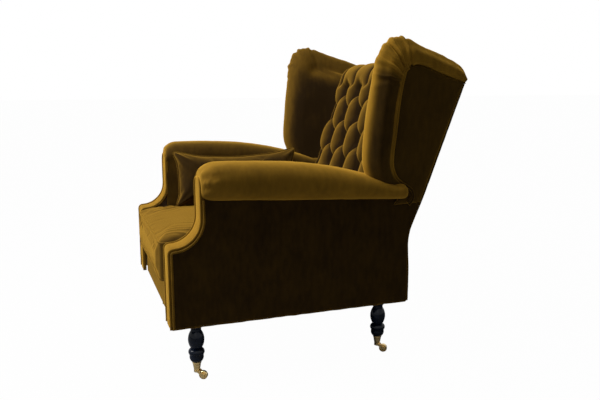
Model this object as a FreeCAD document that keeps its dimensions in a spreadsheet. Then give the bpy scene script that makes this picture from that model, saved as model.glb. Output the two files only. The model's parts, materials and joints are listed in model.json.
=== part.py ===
import FreeCAD, Part

import math
import os
import re

import Sketcher
from FreeCAD import Placement, Rotation, Vector

# Wingback armchair with rolled arms, a deep-buttoned back, a loose seat cushion, a lumbar cushion and turned
# legs on brass castors. Millimetres. The chair faces -Y, +Z is up and +X is the sitter's left. Outlines are
# drawn with Y counted from the front plane of the arms and Z from the floor; every piece is then moved by
# half the overall depth, so that the origin lies on the floor below the middle of the chair.

SIZES = [
    # Body
    ("body_half_width", 368, "middle to the outside of an arm panel"),
    ("body_depth", 762, "front of the arms to the plumb part of the rear"),
    ("castor_height", 55, "floor to the rim of a castor cup"),
    ("leg_height", 123, "cup rim to the underside of the body"),
    ("skin", 4, "board and cloth of an outside panel"),
    ("crack", 2, "parting between two pads that meet"),
    ("clearance", 0.4, "play between loose cushions and what they rest on"),
    # Frame
    ("member", 26, "thickness of the frame timber"),
    ("rail_height", 85, "seat rail, top to bottom"),
    ("post_depth", 34, "front to back size of a post"),
    ("hem", 2, "cloth turned under the rails"),
    ("block_leg", 92, "side of a corner block along a rail"),
    ("block_height", 60, "corner block, top to bottom"),
    ("arm_rail_low", 556, "underside of an arm rail"),
    ("arm_rail_height", 36, "arm rail, top to bottom"),
    ("crest_low", 842, "underside of the crest rail at its rear"),
    ("crest_height", 52, "crest rail, top to bottom along the rake"),
    ("tie_low", 300, "underside of the tie rail"),
    ("tie_height", 60, "tie rail, top to bottom"),
    ("board_thick", 18, "wing board"),
    ("board_inset", 34, "wing board inside the seam of the outside wing"),
    # Suspension
    ("strap", 2.2, "webbing thickness"),
    ("strap_width", 50, "webbing width"),
    ("strap_pitch", 105, "webbing spacing"),
    ("deck_thick", 18, "felt and cloth under the seat cushion"),
    # Rear outline
    ("knee_height", 401, "where the rear starts to lean back"),
    ("back_rake", 21, "lean of the rear in degrees"),
    ("knee_radius", 300, "bend of the rear at the knee"),
    ("back_top", 906, "top of the outside back"),
    # Arm front
    ("arm_front", 96, "setback of the arm above the foot of the facing"),
    ("foot_height", 415, "top of the foot of the facing"),
    ("foot_corner", 12, "round at the front corner of the foot"),
    ("facing_thick", 8, "arm facing, front to back"),
    ("facing_width", 86, "arm facing, side to side"),
    ("facing_top", 614, "top of the facing"),
    ("facing_round", 30, "rounded top corners of the facing"),
    ("border_thick", 8, "padded cloth over the front rail"),
    # Arm roll
    ("arm_top", 658, "crown of the arm near its front"),
    ("arm_rear_top", 579, "crown of the arm under the wing"),
    ("arm_fall_start", 150, "where the crown starts to fall"),
    ("arm_fall_short", 72, "crown stops falling this far before the rear end of the roll"),
    ("roll_nose", 36, "drop of the crown at the front end"),
    ("roll_nose_length", 44, "length of the rounded front end"),
    ("roll_tail", 24, "length of the rounded rear end"),
    ("roll_reach_front", 32, "overhang of the roll at the front"),
    ("roll_reach_rear", 52, "overhang of the roll at the rear"),
    ("roll_under_front", 548, "underside of the roll at the front"),
    ("roll_under_rear", 519, "underside of the roll at the rear"),
    ("panel_tuck", 12, "outside arm carried up behind the roll"),
    ("slab_thick", 56, "padding inside the arm"),
    ("slab_top", 590, "where the roll takes over from the inside of the arm"),
    # Wing
    ("wing_splay", 10.2, "degrees that a wing opens towards the front"),
    ("wing_thick", 82, "wing through its padded front"),
    ("wing_waist_out", 191, "front of the wing at its waist, in front of the plumb rear"),
    ("wing_waist_z", 660, "height of the waist"),
    ("wing_foot_out", 162, "front of the wing at its foot, in front of the plumb rear"),
    ("wing_foot_z", 590, "foot of the wing on the arm"),
    ("wing_head_out", 164, "front of the wing below its top corner, in front of the plumb rear"),
    ("wing_head_z", 925, "height of that point"),
    ("wing_crown_out", 90, "highest point of the wing, in front of the plumb rear"),
    ("wing_crown_z", 1014, "height of the wing"),
    ("wing_rear_z", 905, "top of the wing at its rear"),
    ("nose_depth", 74, "padded front of the wing, up to its outside seam"),
    ("nose_proud", 7, "padded front standing out from the outside wing"),
    ("seam_head_out", 82, "outside seam at its top corner, in front of the plumb rear"),
    ("seam_head_z", 903, "height of that corner"),
    ("seam_rear_z", 866, "outside seam at the rear"),
    ("seam_foot_out", 37, "outside seam behind the arm, in front of the plumb rear"),
    ("seam_foot_z", 566, "height of that point"),
    ("wing_panel_low", 530, "lower edge of the outside wing"),
    # Inside back
    ("back_thick", 176, "foot of the inside back in front of the plumb rear"),
    ("back_lean", 19.3, "lean of the inside back in degrees"),
    ("back_pad_low", 292, "foot of the inside back"),
    ("back_pad_top", 958, "top of the inside back at its middle"),
    ("back_roof", 42, "height of its rounded upper edge"),
    ("back_crown", 9, "rise of the top towards the middle"),
    ("back_swell", 10, "swell of the front towards the middle"),
    ("tuft_pitch", 120, "spacing of the buttons across the back"),
    ("tuft_rise", 90, "height between two rows of buttons"),
    ("tuft_low", 588, "height of the lowest row"),
    ("tuft_rows", 4, "rows of buttons"),
    ("tuft_depth", 30, "depth of a button below the face"),
    ("tuft_radius", 30, "radius of the dimple round a button"),
    ("tuft_mouth", 12, "how far the cut of a dimple runs out in front of the face"),
    ("pleat_depth", 11, "depth of the folds between buttons"),
    ("pleat_width", 20, "width of the folds between buttons"),
    ("button_radius", 11, "covered button"),
    ("button_height", 7, "covered button, base to top"),
    # Cushions
    ("seat_play", 13, "gap beside the seat cushion at mid height"),
    ("seat_front", 20, "seat cushion standing out in front of the arms"),
    ("seat_rear_gap", 6, "seat cushion short of the inside back"),
    ("seat_border", 124, "seat cushion, bottom seam to top seam"),
    ("seat_crown", 24, "rise of the seat cushion above its top seam"),
    ("seat_corner", 26, "corner of the seat cushion"),
    ("seat_draw", 5, "how far its sides pull in between corners"),
    ("lumbar_length", 480, "lumbar cushion along the seat"),
    ("lumbar_height", 204, "lumbar cushion, seam to seam"),
    ("lumbar_thick", 88, "lumbar cushion through its middle"),
    ("lumbar_front", 112, "front end of the lumbar cushion"),
    ("lumbar_stand", 68, "middle of the lumbar cushion from the inside of the arm"),
    ("lumbar_tilt", 13, "lean against the arm in degrees"),
    ("lumbar_sink", 4.4, "its lower corners below the crown of the seat cushion"),
    ("lumbar_corner", 9, "corner of the lumbar cushion"),
    ("lumbar_draw", 14, "how far its edges pull in between corners"),
    # Legs
    ("leg_inset", 42, "leg axis inside the body's side"),
    ("leg_front", 78, "front leg axis behind the front of the arms"),
    ("leg_rear", 81, "rear leg axis in front of the rear"),
    ("leg_bulb", 23.6, "radius of the upper bulb"),
    ("leg_waist", 15.6, "radius of the waist"),
    ("leg_ball", 21.9, "radius of the lower ball"),
    ("leg_neck", 15.8, "radius of the neck"),
    ("leg_collar", 20, "radius of the collar under the rail"),
    ("leg_toe", 11.2, "radius of the toe at the cup's rim"),
    ("leg_dowel", 9, "radius of the dowel in the corner block"),
    ("leg_dowel_length", 40, "length of that dowel"),
    # Castors
    ("cup_wall", 1.8, "wall of a castor cup"),
    ("cup_base", 9, "radius of the foot of a cup"),
    ("cup_low", 28, "underside of a cup"),
    ("cup_bead", 3, "beaded rim of a cup"),
    ("cup_floor", 5, "floor of a cup"),
    ("pintle_radius", 3, "swivel pintle"),
    ("pintle_head", 5, "riveted head of the pintle"),
    ("pintle_rivet", 2, "height of that head"),
    ("horn_plate", 5.4, "top plate of a horn"),
    ("horn_radius", 9.6, "radius of that plate"),
    ("horn_cheek", 3.2, "cheek beside the wheel"),
    ("horn_ear", 6.5, "radius of the ear round the axle"),
    ("castor_trail", 20, "wheel axle behind the pintle"),
    ("castor_turn", 30, "castors turned outwards in degrees"),
    ("wheel_radius", 13, "castor wheel"),
    ("wheel_width", 11, "castor wheel, side to side"),
    ("wheel_bevel", 1.2, "bevel of the tread"),
    ("wheel_gap", 0.8, "play between wheel and cheek"),
    ("axle_radius", 2.5, "wheel axle"),
    ("running_fit", 0.06, "radial play of a turning joint"),
]

# Sizes that follow from others
RULES = {
    "body_low": "castor_height + leg_height",
    "frame_low": "body_low + hem",
    "rail_top": "frame_low + rail_height",
    "strap_top": "rail_top + strap",
    "deck_low": "rail_top + strap * 2",
    "deck_top": "deck_low + deck_thick",
    "side_outer": "body_half_width - skin",
    "side_inner": "side_outer - member",
    "arm_inner": "body_half_width - facing_width",
    "rear_inner": "body_depth - skin",
    "scoop_radius": "arm_front - foot_corner",
    "timber_front": "border_thick + facing_thick + skin",
    "roll_rear": "body_depth",
    "arm_fall_end": "roll_rear - arm_fall_short",
    "wing_waist_y": "body_depth - wing_waist_out",
    "wing_foot_y": "body_depth - wing_foot_out",
    "wing_head_y": "body_depth - wing_head_out",
    "wing_crown_y": "body_depth - wing_crown_out",
    "seam_head_y": "body_depth - seam_head_out",
    "seam_foot_y": "body_depth - seam_foot_out",
    "back_face_y": "body_depth - back_thick",
    "lumbar_side": "arm_inner - lumbar_stand",
    "leg_side": "body_half_width - leg_inset",
    "leg_back": "body_depth - leg_rear",
    "cushion_low": "deck_top + clearance",
    "overall_depth": "seat_front + body_depth + (back_top - knee_height) * tan(back_rake)",
    "middle_y": "overall_depth / 2 - seat_front",
}

doc = FreeCAD.newDocument("WingbackArmchair")
sheet = doc.addObject("Spreadsheet::Sheet", "Sizes")
for row, (alias, number, meaning) in enumerate(SIZES, start=1):
    sheet.set(f"A{row}", alias)
    sheet.set(f"B{row}", str(number))
    sheet.set(f"C{row}", meaning)
    sheet.setAlias(f"B{row}", alias)
doc.recompute()
ALIASES = {alias for alias, number, meaning in SIZES}
reader = doc.addObject("App::FeaturePython", "Reader")


def formula(text):
    """Rewrites names of sizes and rules as references to cells of the sheet."""
    def swap(match):
        word = match.group(0)
        if word in ALIASES:
            return f"Sizes.{word}"
        if word in RULES:
            return f"({formula(RULES[word])})"
        return word
    return re.sub(r"[a-z][a-z_]*", swap, text)


def size(text):
    """Value of a size, a rule or a sum of them."""
    return float(reader.evalExpression(formula(text)))


SHIFT = Vector(0, -size("middle_y"), 0)
PARTS = []


def keep(part, label):
    """Makes an object one of the chair's pieces."""
    part.Label = label
    PARTS.append(part)
    return part


def bind(part, **places):
    """Ties properties of an object to cells of the sheet."""
    for name, text in places.items():
        part.setExpression(name.replace("__", "."), formula(str(text)))


def seat_at(part, x="0", y="0", z="0"):
    """Places an object whose outlines count Y from the front of the arms."""
    bind(part, Placement__Base__x=x, Placement__Base__y=f"{y} - middle_y", Placement__Base__z=z)


def new_body(label):
    """Body with a label of its own, listed as a piece."""
    return keep(doc.addObject("PartDesign::Body", label), label)


def new_sketch(body, name, plane):
    """Sketch on one of the body's own origin planes."""
    support = next(item for item in body.Origin.OriginFeatures if item.Role == plane)
    sketch = body.newObject("Sketcher::SketchObject", name)
    sketch.AttachmentSupport = [(support, "")]
    sketch.MapMode = "FlatFace"
    return sketch


def arc_between(start, end, radius, side):
    """Arc of that radius, bulging to the left (1) or right (-1) of the way from start to end, and its ends."""
    chord = end - start
    half = chord.Length / 2
    left = Vector(-chord.y, chord.x, 0).normalize()
    centre = (start + end) / 2 - left * (side * math.sqrt(max(radius * radius - half * half, 0)))
    angles = [math.atan2(point.y - centre.y, point.x - centre.x) for point in (start, end)]
    if side > 0:
        angles.reverse()
    if angles[1] < angles[0]:
        angles[1] += 2 * math.pi
    circle = Part.Circle(centre, Vector(0, 0, 1), radius)
    return Part.ArcOfCircle(circle, *angles), (2, 1) if side > 0 else (1, 2)


def draw(sketch, corners, arcs=None):
    """Closed outline through corners given as pairs of expressions; arcs holds side: (radius, direction)."""
    arcs = arcs or {}
    count = len(corners)
    points = [Vector(size(a), size(b), 0) for a, b in corners]
    ends = []
    for side in range(count):
        start, end = points[side], points[(side + 1) % count]
        if side in arcs:
            radius, direction = arcs[side]
            arc, order = arc_between(start, end, size(radius), direction)
            sketch.addGeometry(arc, False)
            ends.append(order)
        else:
            sketch.addGeometry(Part.LineSegment(start, end), False)
            ends.append((1, 2))
    for side in range(count):
        after = (side + 1) % count
        sketch.addConstraint(
            Sketcher.Constraint("Coincident", side, ends[side][1], after, ends[after][0])
        )
    for side, (across, along) in enumerate(corners):
        for kind, text, number in (("DistanceX", across, points[side].x), ("DistanceY", along, points[side].y)):
            index = sketch.addConstraint(Sketcher.Constraint(kind, -1, 1, side, ends[side][0], number))
            name = f"{kind[-1]}{side}"
            sketch.renameConstraint(index, name)
            sketch.setExpression(f"Constraints.{name}", formula(text))
    for side, (radius, direction) in arcs.items():
        index = sketch.addConstraint(Sketcher.Constraint("Radius", side, size(radius)))
        sketch.renameConstraint(index, f"R{side}")
        sketch.setExpression(f"Constraints.R{side}", formula(radius))


def draw_circle(sketch, across, along, radius):
    """Circle given by expressions."""
    centre = Vector(size(across), size(along), 0)
    index = sketch.addGeometry(Part.Circle(centre, Vector(0, 0, 1), size(radius)), False)
    for kind, text, number in (("DistanceX", across, centre.x), ("DistanceY", along, centre.y)):
        place = sketch.addConstraint(Sketcher.Constraint(kind, -1, 1, index, 3, number))
        sketch.renameConstraint(place, f"{kind[-1]}c{index}")
        sketch.setExpression(f"Constraints.{kind[-1]}c{index}", formula(text))
    place = sketch.addConstraint(Sketcher.Constraint("Radius", index, size(radius)))
    sketch.renameConstraint(place, f"Rc{index}")
    sketch.setExpression(f"Constraints.Rc{index}", formula(radius))


def pad(body, sketch, length, midplane=False, turned=False):
    """Solid from a sketch."""
    feature = body.newObject("PartDesign::Pad", f"{body.Name}_pad")
    feature.Profile = sketch
    bind(feature, Length=length)
    feature.Midplane = midplane
    feature.Reversed = turned
    return feature


def pocket(body, sketch, length, midplane=False, turned=False):
    """Cut from a sketch."""
    feature = body.newObject("PartDesign::Pocket", f"{body.Name}_pocket")
    feature.Profile = sketch
    bind(feature, Length=length)
    feature.Midplane = midplane
    feature.Reversed = turned
    return feature


def revolve(body, sketch):
    """Full turn of a sketch about its own upright axis."""
    feature = body.newObject("PartDesign::Revolution", f"{body.Name}_turning")
    feature.Profile = sketch
    feature.ReferenceAxis = (sketch, ["V_Axis"])
    feature.Angle = 360
    return feature


def side_prism(label, corners, arcs, thick, x):
    """Piece with a side outline in Y and Z, as thick as given across X, starting at x."""
    body = new_body(label)
    sketch = new_sketch(body, f"{label}_outline", "YZ_Plane")
    draw(sketch, corners, arcs)
    pad(body, sketch, thick)
    seat_at(body, x=x)
    return body


def box(label, length, width, height, x, y, z):
    """Squared timber or strap."""
    part = keep(doc.addObject("Part::Box", label), label)
    bind(part, Length=length, Width=width, Height=height)
    seat_at(part, x=x, y=y, z=z)
    return part


def shape_piece(label, shape):
    """Piece whose shape is built from curves that no simple feature gives."""
    part = keep(doc.addObject("Part::Feature", label), label)
    part.Shape = shape
    part.Placement = Placement(SHIFT, Rotation())
    return part


def closed_wire(points, mids=None):
    """Closed wire through points; mids holds the point that the arc on a side passes."""
    mids = mids or {}
    edges = []
    for side, start in enumerate(points):
        end = points[(side + 1) % len(points)]
        if side in mids:
            edges.append(Part.Arc(start, mids[side], end).toShape())
        else:
            edges.append(Part.LineSegment(start, end).toShape())
    return Part.Wire(edges)


def loft(wires):
    """Solid through closed wires."""
    return Part.makeLoft(wires, True, True)


def mirrored(shape):
    """The same shape on the other side of the middle."""
    return shape.mirror(Vector(0, 0, 0), Vector(1, 0, 0))


def sides():
    """The two sides of the chair: name and sign of X."""
    return (("left", 1), ("right", -1))


def side_start(inner, outer, sign):
    """Where a prism from inner to outer starts on that side, as an expression."""
    return f"{inner}" if sign > 0 else f"-({outer})"


# Rear outline
def rear_y(height):
    """Outside of the rear at a height above the knee, on the straight part of its lean."""
    return size("body_depth") + (height - size("knee_height")) * math.tan(math.radians(size("back_rake")))


def lean_y(height, offset):
    """Expression for the leaning rear at a height, moved forward by offset across the lean."""
    return f"body_depth + ({height} - knee_height) * tan(back_rake) - ({offset}) / cos(back_rake)"


def knee_corners(offset):
    """Both ends of the bend at the knee, on a line that lies offset in front of the rear."""
    run = f"((knee_radius + ({offset})) * tan(back_rake / 2))"
    level = f"(knee_height + ({offset}) * tan(back_rake / 2))"
    return (
        (f"body_depth - ({offset})", f"{level} - {run}"),
        (
            f"body_depth - ({offset}) + {run} * sin(back_rake)",
            f"{level} + {run} * cos(back_rake)",
        ),
        f"knee_radius + ({offset})",
    )


def rear_band(label, inner, outer, low, high, width, x):
    """Upright layer of the rear between two offsets, following the knee and the lean."""
    inner_low, inner_high, inner_radius = knee_corners(inner)
    outer_low, outer_high, outer_radius = knee_corners(outer)
    corners = [
        (f"body_depth - ({inner})", low),
        inner_low,
        inner_high,
        (lean_y(high, inner), high),
        (lean_y(high, outer), high),
        outer_high,
        outer_low,
        (f"body_depth - ({outer})", low),
    ]
    arcs = {1: (inner_radius, 1), 5: (outer_radius, -1)}
    return side_prism(label, corners, arcs, width, x)


# Timber frame
def seat_rails():
    """Front, rear and side rails; the first two stand one strap higher, so both layers of webbing lie flat."""
    tall = "rail_height + strap"
    box("front_rail", "side_inner * 2", "member", tall, "-side_inner", "timber_front", "frame_low")
    box("rear_rail", "side_inner * 2", "member", tall, "-side_inner", "rear_inner - member", "frame_low")
    span = "rear_inner - post_depth - facing_thick - post_depth"
    for name, sign in sides():
        box(
            f"side_rail_{name}", "member", span, "rail_height",
            side_start("side_inner", "side_outer", sign), "facing_thick + post_depth", "frame_low",
        )


def corner_blocks():
    """Three-cornered blocks behind the four legs, each bored for the leg's dowel."""
    blocks = []
    front = size("timber_front + member")
    rear = size("rear_inner - member")
    for sign in (1, -1):
        for wall, into, leg_y in ((front, 1, "leg_front"), (rear, -1, "leg_back")):
            corner = Vector(sign * size("side_inner"), wall, size("frame_low"))
            along = Vector(-sign * size("block_leg"), 0, 0)
            inward = Vector(0, into * size("block_leg"), 0)
            face = Part.Face(closed_wire([corner, corner + along, corner + inward]))
            block = face.extrude(Vector(0, 0, size("block_height")))
            axis = Vector(sign * size("leg_side"), size(leg_y), size("frame_low"))
            bore = Part.makeCylinder(size("leg_dowel"), size("leg_dowel_length"), axis)
            blocks.append(block.cut(bore))
    shape_piece("corner_blocks", Part.makeCompound(blocks))


def arm_front_curve(offset):
    """Corners of the arm's front line from low to high, offset behind the facing's face, with its arcs."""
    corners = [
        (offset, "foot_height - foot_corner"),
        ("foot_corner", f"foot_height - ({offset})"),
        (f"arm_front + ({offset})", "foot_height + scoop_radius"),
    ]
    return corners, f"foot_corner - ({offset})", f"scoop_radius + ({offset})"


def round_top(facing):
    """Rounds the two upper corners of a facing, seen from the front."""
    doc.recompute()
    solid = facing.Tip
    names = []
    for number, edge in enumerate(solid.Shape.Edges, start=1):
        level = all(abs(vertex.Z - size("facing_top")) < 0.01 for vertex in edge.Vertexes)
        if level and abs(edge.BoundBox.XLength) < 0.01:
            names.append(f"Edge{number}")
    fillet = facing.newObject("PartDesign::Fillet", f"{facing.Name}_round")
    fillet.Base = (solid, names)
    bind(fillet, Radius="facing_round")


def arm_fronts():
    """Facings, and the sawn posts behind them, both following the scooped front of the arm."""
    outer, outer_corner, outer_scoop = arm_front_curve("0")
    inner, inner_corner, inner_scoop = arm_front_curve("facing_thick")
    for name, sign in sides():
        corners = [("0", "body_low")] + outer + [("arm_front", "facing_top")]
        corners += [("arm_front + facing_thick", "facing_top")] + inner[::-1] + [("facing_thick", "body_low")]
        arcs = {1: (outer_corner, 1), 2: (outer_scoop, -1), 6: (inner_scoop, 1), 7: (inner_corner, -1)}
        start = side_start("arm_inner", "body_half_width", sign)
        facing = side_prism(f"arm_facing_{name}", corners, arcs, "facing_width", start)
        round_top(facing)
        post_back = "arm_front + facing_thick + post_depth"
        corners = [("facing_thick", "frame_low")] + inner
        corners += [("arm_front + facing_thick", "arm_rail_low + arm_rail_height")]
        corners += [(post_back, "arm_rail_low + arm_rail_height"), (post_back, "foot_height")]
        corners += [("facing_thick + post_depth", "foot_height - scoop_radius")]
        corners += [("facing_thick + post_depth", "frame_low")]
        arcs = {1: (inner_corner, 1), 2: (inner_scoop, -1)}
        side_prism(f"front_post_{name}", corners, arcs, "member", side_start("side_inner", "side_outer", sign))


def back_frame():
    """Raked posts, crest rail, tie rail and the arm rails that reach the posts."""
    for name, sign in sides():
        start = side_start("side_inner", "side_outer", sign)
        rear_band(
            f"back_post_{name}", "skin + post_depth", "skin", "frame_low", "crest_low + crest_height * 0.6",
            "member", start,
        )
        arm_start = "arm_front + facing_thick + post_depth"
        high = "arm_rail_low + arm_rail_height"
        corners = [
            (arm_start, "arm_rail_low"),
            (arm_start, high),
            (lean_y(high, "skin + post_depth"), high),
            (lean_y("arm_rail_low", "skin + post_depth"), "arm_rail_low"),
        ]
        side_prism(f"arm_rail_{name}", corners, {}, "member", start)
    low, high = "crest_low", "crest_low + crest_height"
    corners = [
        (lean_y(low, "skin + member"), low),
        (lean_y(high, "skin + member"), high),
        (lean_y(high, "skin"), high),
        (lean_y(low, "skin"), low),
    ]
    side_prism("crest_rail", corners, {}, "side_inner * 2", "-side_inner")
    box(
        "back_tie_rail", "side_inner * 2", "member", "tie_height",
        "-side_inner", "rear_inner - post_depth", "tie_low",
    )


# Suspension
def webbing():
    """Straps over the seat rails in two layers, and straps up the back."""
    straps = []
    for step in range(-2, 3):
        x = size("strap_pitch") * step - size("strap_width") / 2
        low = Vector(x, size("timber_front"), size("strap_top"))
        straps.append(Part.makeBox(size("strap_width"), size("rear_inner - timber_front"), size("strap"), low))
    shape_piece("seat_webbing_long", Part.makeCompound(straps))
    straps = []
    first = size("facing_thick + post_depth + strap_width")
    last = size("rear_inner - post_depth - strap_width * 2")
    count = int((last - first) // size("strap_pitch")) + 1
    for step in range(count):
        y = first + (last - first) * step / (count - 1)
        low = Vector(-size("side_outer"), y, size("rail_top"))
        straps.append(Part.makeBox(size("side_outer * 2"), size("strap_width"), size("strap"), low))
    shape_piece("seat_webbing_cross", Part.makeCompound(straps))
    straps = []
    rake = math.radians(size("back_rake"))
    bottom = size("tie_low + tie_height * 0.4")
    top = size("crest_low + crest_height * 0.6")
    across_lean = size("strap") / math.cos(rake)
    bend = size("tie_low + tie_height")
    face = size("rear_inner - post_depth")
    meet = size("crest_low - member")

    def crest_face(height):
        return rear_y(height) - size("skin + member") / math.cos(rake)

    for step in range(-2, 3):
        x = size("strap_pitch") * step - size("strap_width") / 2
        corners = [
            Vector(x, face, bottom),
            Vector(x, face, bend),
            Vector(x, crest_face(meet), meet),
            Vector(x, crest_face(top), top),
            Vector(x, crest_face(top) - across_lean, top),
            Vector(x, crest_face(meet) - across_lean, meet),
            Vector(x, face - size("strap"), bend),
            Vector(x, face - size("strap"), bottom),
        ]
        strap = Part.Face(closed_wire(corners)).extrude(Vector(size("strap_width"), 0, 0))
        straps.append(strap)
    shape_piece("back_webbing", Part.makeCompound(straps))


def deck_and_border():
    """Deck under the cushion, cloth border over the front rail and dust cover under the frame."""
    box(
        "seat_deck", "(arm_inner - crack) * 2", "back_face_y - timber_front - crack", "deck_thick",
        "-(arm_inner - crack)", "timber_front", "deck_low",
    )
    body = new_body("front_border")
    sketch = new_sketch(body, "front_border_outline", "YZ_Plane")
    front, back = "timber_front - border_thick", "timber_front"
    draw(sketch, [(front, "body_low"), (front, "deck_top"), (back, "deck_top"), (back, "body_low")])
    pad(body, sketch, "arm_inner * 2")
    seat_at(body, x="-arm_inner")
    cover = new_body("dust_cover")
    sketch = new_sketch(cover, "dust_cover_outline", "XY_Plane")
    wide, deep = "side_inner", "timber_front + member"
    rear = "rear_inner - member"
    notch = "leg_inset + leg_collar - skin - member + crack"
    front_notch = "leg_front + leg_collar + crack"
    rear_notch = "leg_back - leg_collar - crack"
    corners = [
        (f"-{wide} + {notch}", deep), (f"{wide} - ({notch})", deep),
        (f"{wide} - ({notch})", front_notch), (wide, front_notch),
        (wide, rear_notch), (f"{wide} - ({notch})", rear_notch),
        (f"{wide} - ({notch})", rear), (f"-{wide} + {notch}", rear),
        (f"-{wide} + {notch}", rear_notch), (f"-{wide}", rear_notch),
        (f"-{wide}", front_notch), (f"-{wide} + {notch}", front_notch),
    ]
    draw(sketch, corners)
    pad(cover, sketch, "hem - clearance")
    seat_at(cover, z="body_low + clearance")


# Outside panels
def outside_panels():
    """Outside back and outside arms. The arm panels follow the facing in front and the knee at the rear."""
    rear_band("outside_back", "skin", "0", "body_low", "back_top", "body_half_width * 2", "-body_half_width")
    inner, inner_corner, inner_scoop = arm_front_curve("facing_thick")
    knee_low, knee_high, knee_bend = knee_corners("skin")
    panel_top = "roll_under_front + panel_tuck"
    tuck = "skin + panel_tuck * 3"
    for name, sign in sides():
        corners = [("facing_thick", "body_low")] + inner
        corners += [("arm_front + facing_thick", panel_top), (lean_y(panel_top, tuck), panel_top)]
        corners += [(lean_y("wing_panel_low", tuck), "wing_panel_low")]
        corners += [(lean_y("wing_panel_low", "skin"), "wing_panel_low")]
        corners += [knee_high, knee_low, ("body_depth - skin", "body_low")]
        arcs = {1: (inner_corner, 1), 2: (inner_scoop, -1), 8: (knee_bend, -1)}
        side_prism(f"outside_arm_{name}", corners, arcs, "skin", side_start("side_outer", "body_half_width", sign))


def wing_x(y, z, inward=0.0):
    """Distance from the middle to the outside face of the splayed wing, or to a layer inward of it."""
    splay = math.radians(size("wing_splay"))
    return size("body_half_width") + (rear_y(z) - y) * math.tan(splay) - inward


def wing_point(y, z, inward=0.0):
    """Point on the wing's outside face or on a layer inward of it."""
    return Vector(wing_x(y, z, inward), y, z)


def wing_plate(points, mids, inward, thick):
    """Plate of that thickness on the wing's sloping plane, its outer face inward of the outside."""
    outer = closed_wire(
        [wing_point(y, z, inward) for y, z in points],
        {side: wing_point(y, z, inward) for side, (y, z) in mids.items()},
    )
    return Part.Face(outer).extrude(Vector(-thick, 0, 0))


def seam_line(inset):
    """Outline of the outside wing, or of the board behind it when inset from its free edges."""
    nose = size("nose_depth")
    head_y, head_z = size("seam_head_y") + inset, size("seam_head_z") - inset
    waist_y = size("wing_waist_y") + nose + inset
    waist_z = size("wing_waist_z") + nose * 0.3
    foot_y, foot_z = size("seam_foot_y"), size("seam_foot_z") + inset
    rear_z = size("seam_rear_z") - inset
    round_y, round_z = head_y + nose * 0.54, head_z + nose * 0.19
    points = [
        (foot_y, foot_z),
        (waist_y, waist_z),
        (head_y, head_z),
        (round_y, round_z),
    ]
    mids = {
        0: ((foot_y + waist_y) / 2 - nose * 0.257, (foot_z + waist_z) / 2 - nose * 0.054),
        1: ((waist_y + head_y) / 2 + nose * 0.08, (waist_z + head_z) / 2),
        2: (head_y + nose * 0.216, head_z + nose * 0.162),
    }
    return points, mids, rear_z


def outside_wings():
    """Outside wing panels and the boards behind them, on the splayed plane of the wing."""
    points, mids, rear_z = seam_line(0)
    low = size("wing_panel_low")
    edge = size("skin") / math.cos(math.radians(size("back_rake")))
    points += [(rear_y(rear_z) - edge, rear_z), (rear_y(low) - edge, low)]
    panel = wing_plate(points, mids, 0, size("skin"))
    points, mids, rear_z = seam_line(size("board_inset"))
    gap = size("skin + post_depth") / math.cos(math.radians(size("back_rake")))
    foot_z = points[0][1]
    points += [(rear_y(rear_z) - gap, rear_z), (rear_y(foot_z) - gap, foot_z)]
    board = wing_plate(points, mids, size("skin"), size("board_thick"))
    for name, sign in sides():
        shape_piece(f"outside_wing_{name}", panel if sign > 0 else mirrored(panel))
        shape_piece(f"wing_board_{name}", board if sign > 0 else mirrored(board))


# Arm pads
def crown_z(y):
    """Top of the arm roll along its length."""
    start, end = size("arm_fall_start"), size("arm_fall_end")
    share = min(max((y - start) / (end - start), 0), 1)
    top = size("arm_top") - size("arm_top - arm_rear_top") * share ** 2.5
    into = min((y - size("arm_front")) / size("roll_nose_length"), 1)
    return top - size("roll_nose") * (1 - math.sqrt(1 - (1 - into) ** 2))


def roll_section(y, shrink=0.0):
    """Section of the arm roll across the chair at y, smaller all round by shrink."""
    share = (y - size("arm_front")) / size("roll_rear - arm_front")
    reach = size("roll_reach_front") + size("roll_reach_rear - roll_reach_front") * share
    under = size("roll_under_front") + size("roll_under_rear - roll_under_front") * share + shrink
    out = size("body_half_width") + reach - shrink
    top = crown_z(y) - shrink
    inner = size("arm_inner")
    low = size("slab_top - facing_round")
    middle = (inner + out) / 2 - reach * 0.2
    shoulder = top - 0.42 * (top - under)
    edge = size("side_inner")
    points = [
        Vector(inner, y, low),
        Vector(inner, y, low + (top - low) * 0.3),
        Vector(middle, y, top),
        Vector(out, y, shoulder),
        Vector(size("body_half_width + crack / 2"), y, under),
        Vector(edge, y, under),
    ]
    mids = {
        1: Vector(inner + (middle - inner) * 0.26, y, top - (top - low) * 0.7 * 0.24),
        2: Vector(out - (out - middle) * 0.28, y, top - (top - shoulder) * 0.26),
        3: Vector(out - reach * 0.22, y, under + (shoulder - under) * 0.3),
    }
    return closed_wire(points, mids)


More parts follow.
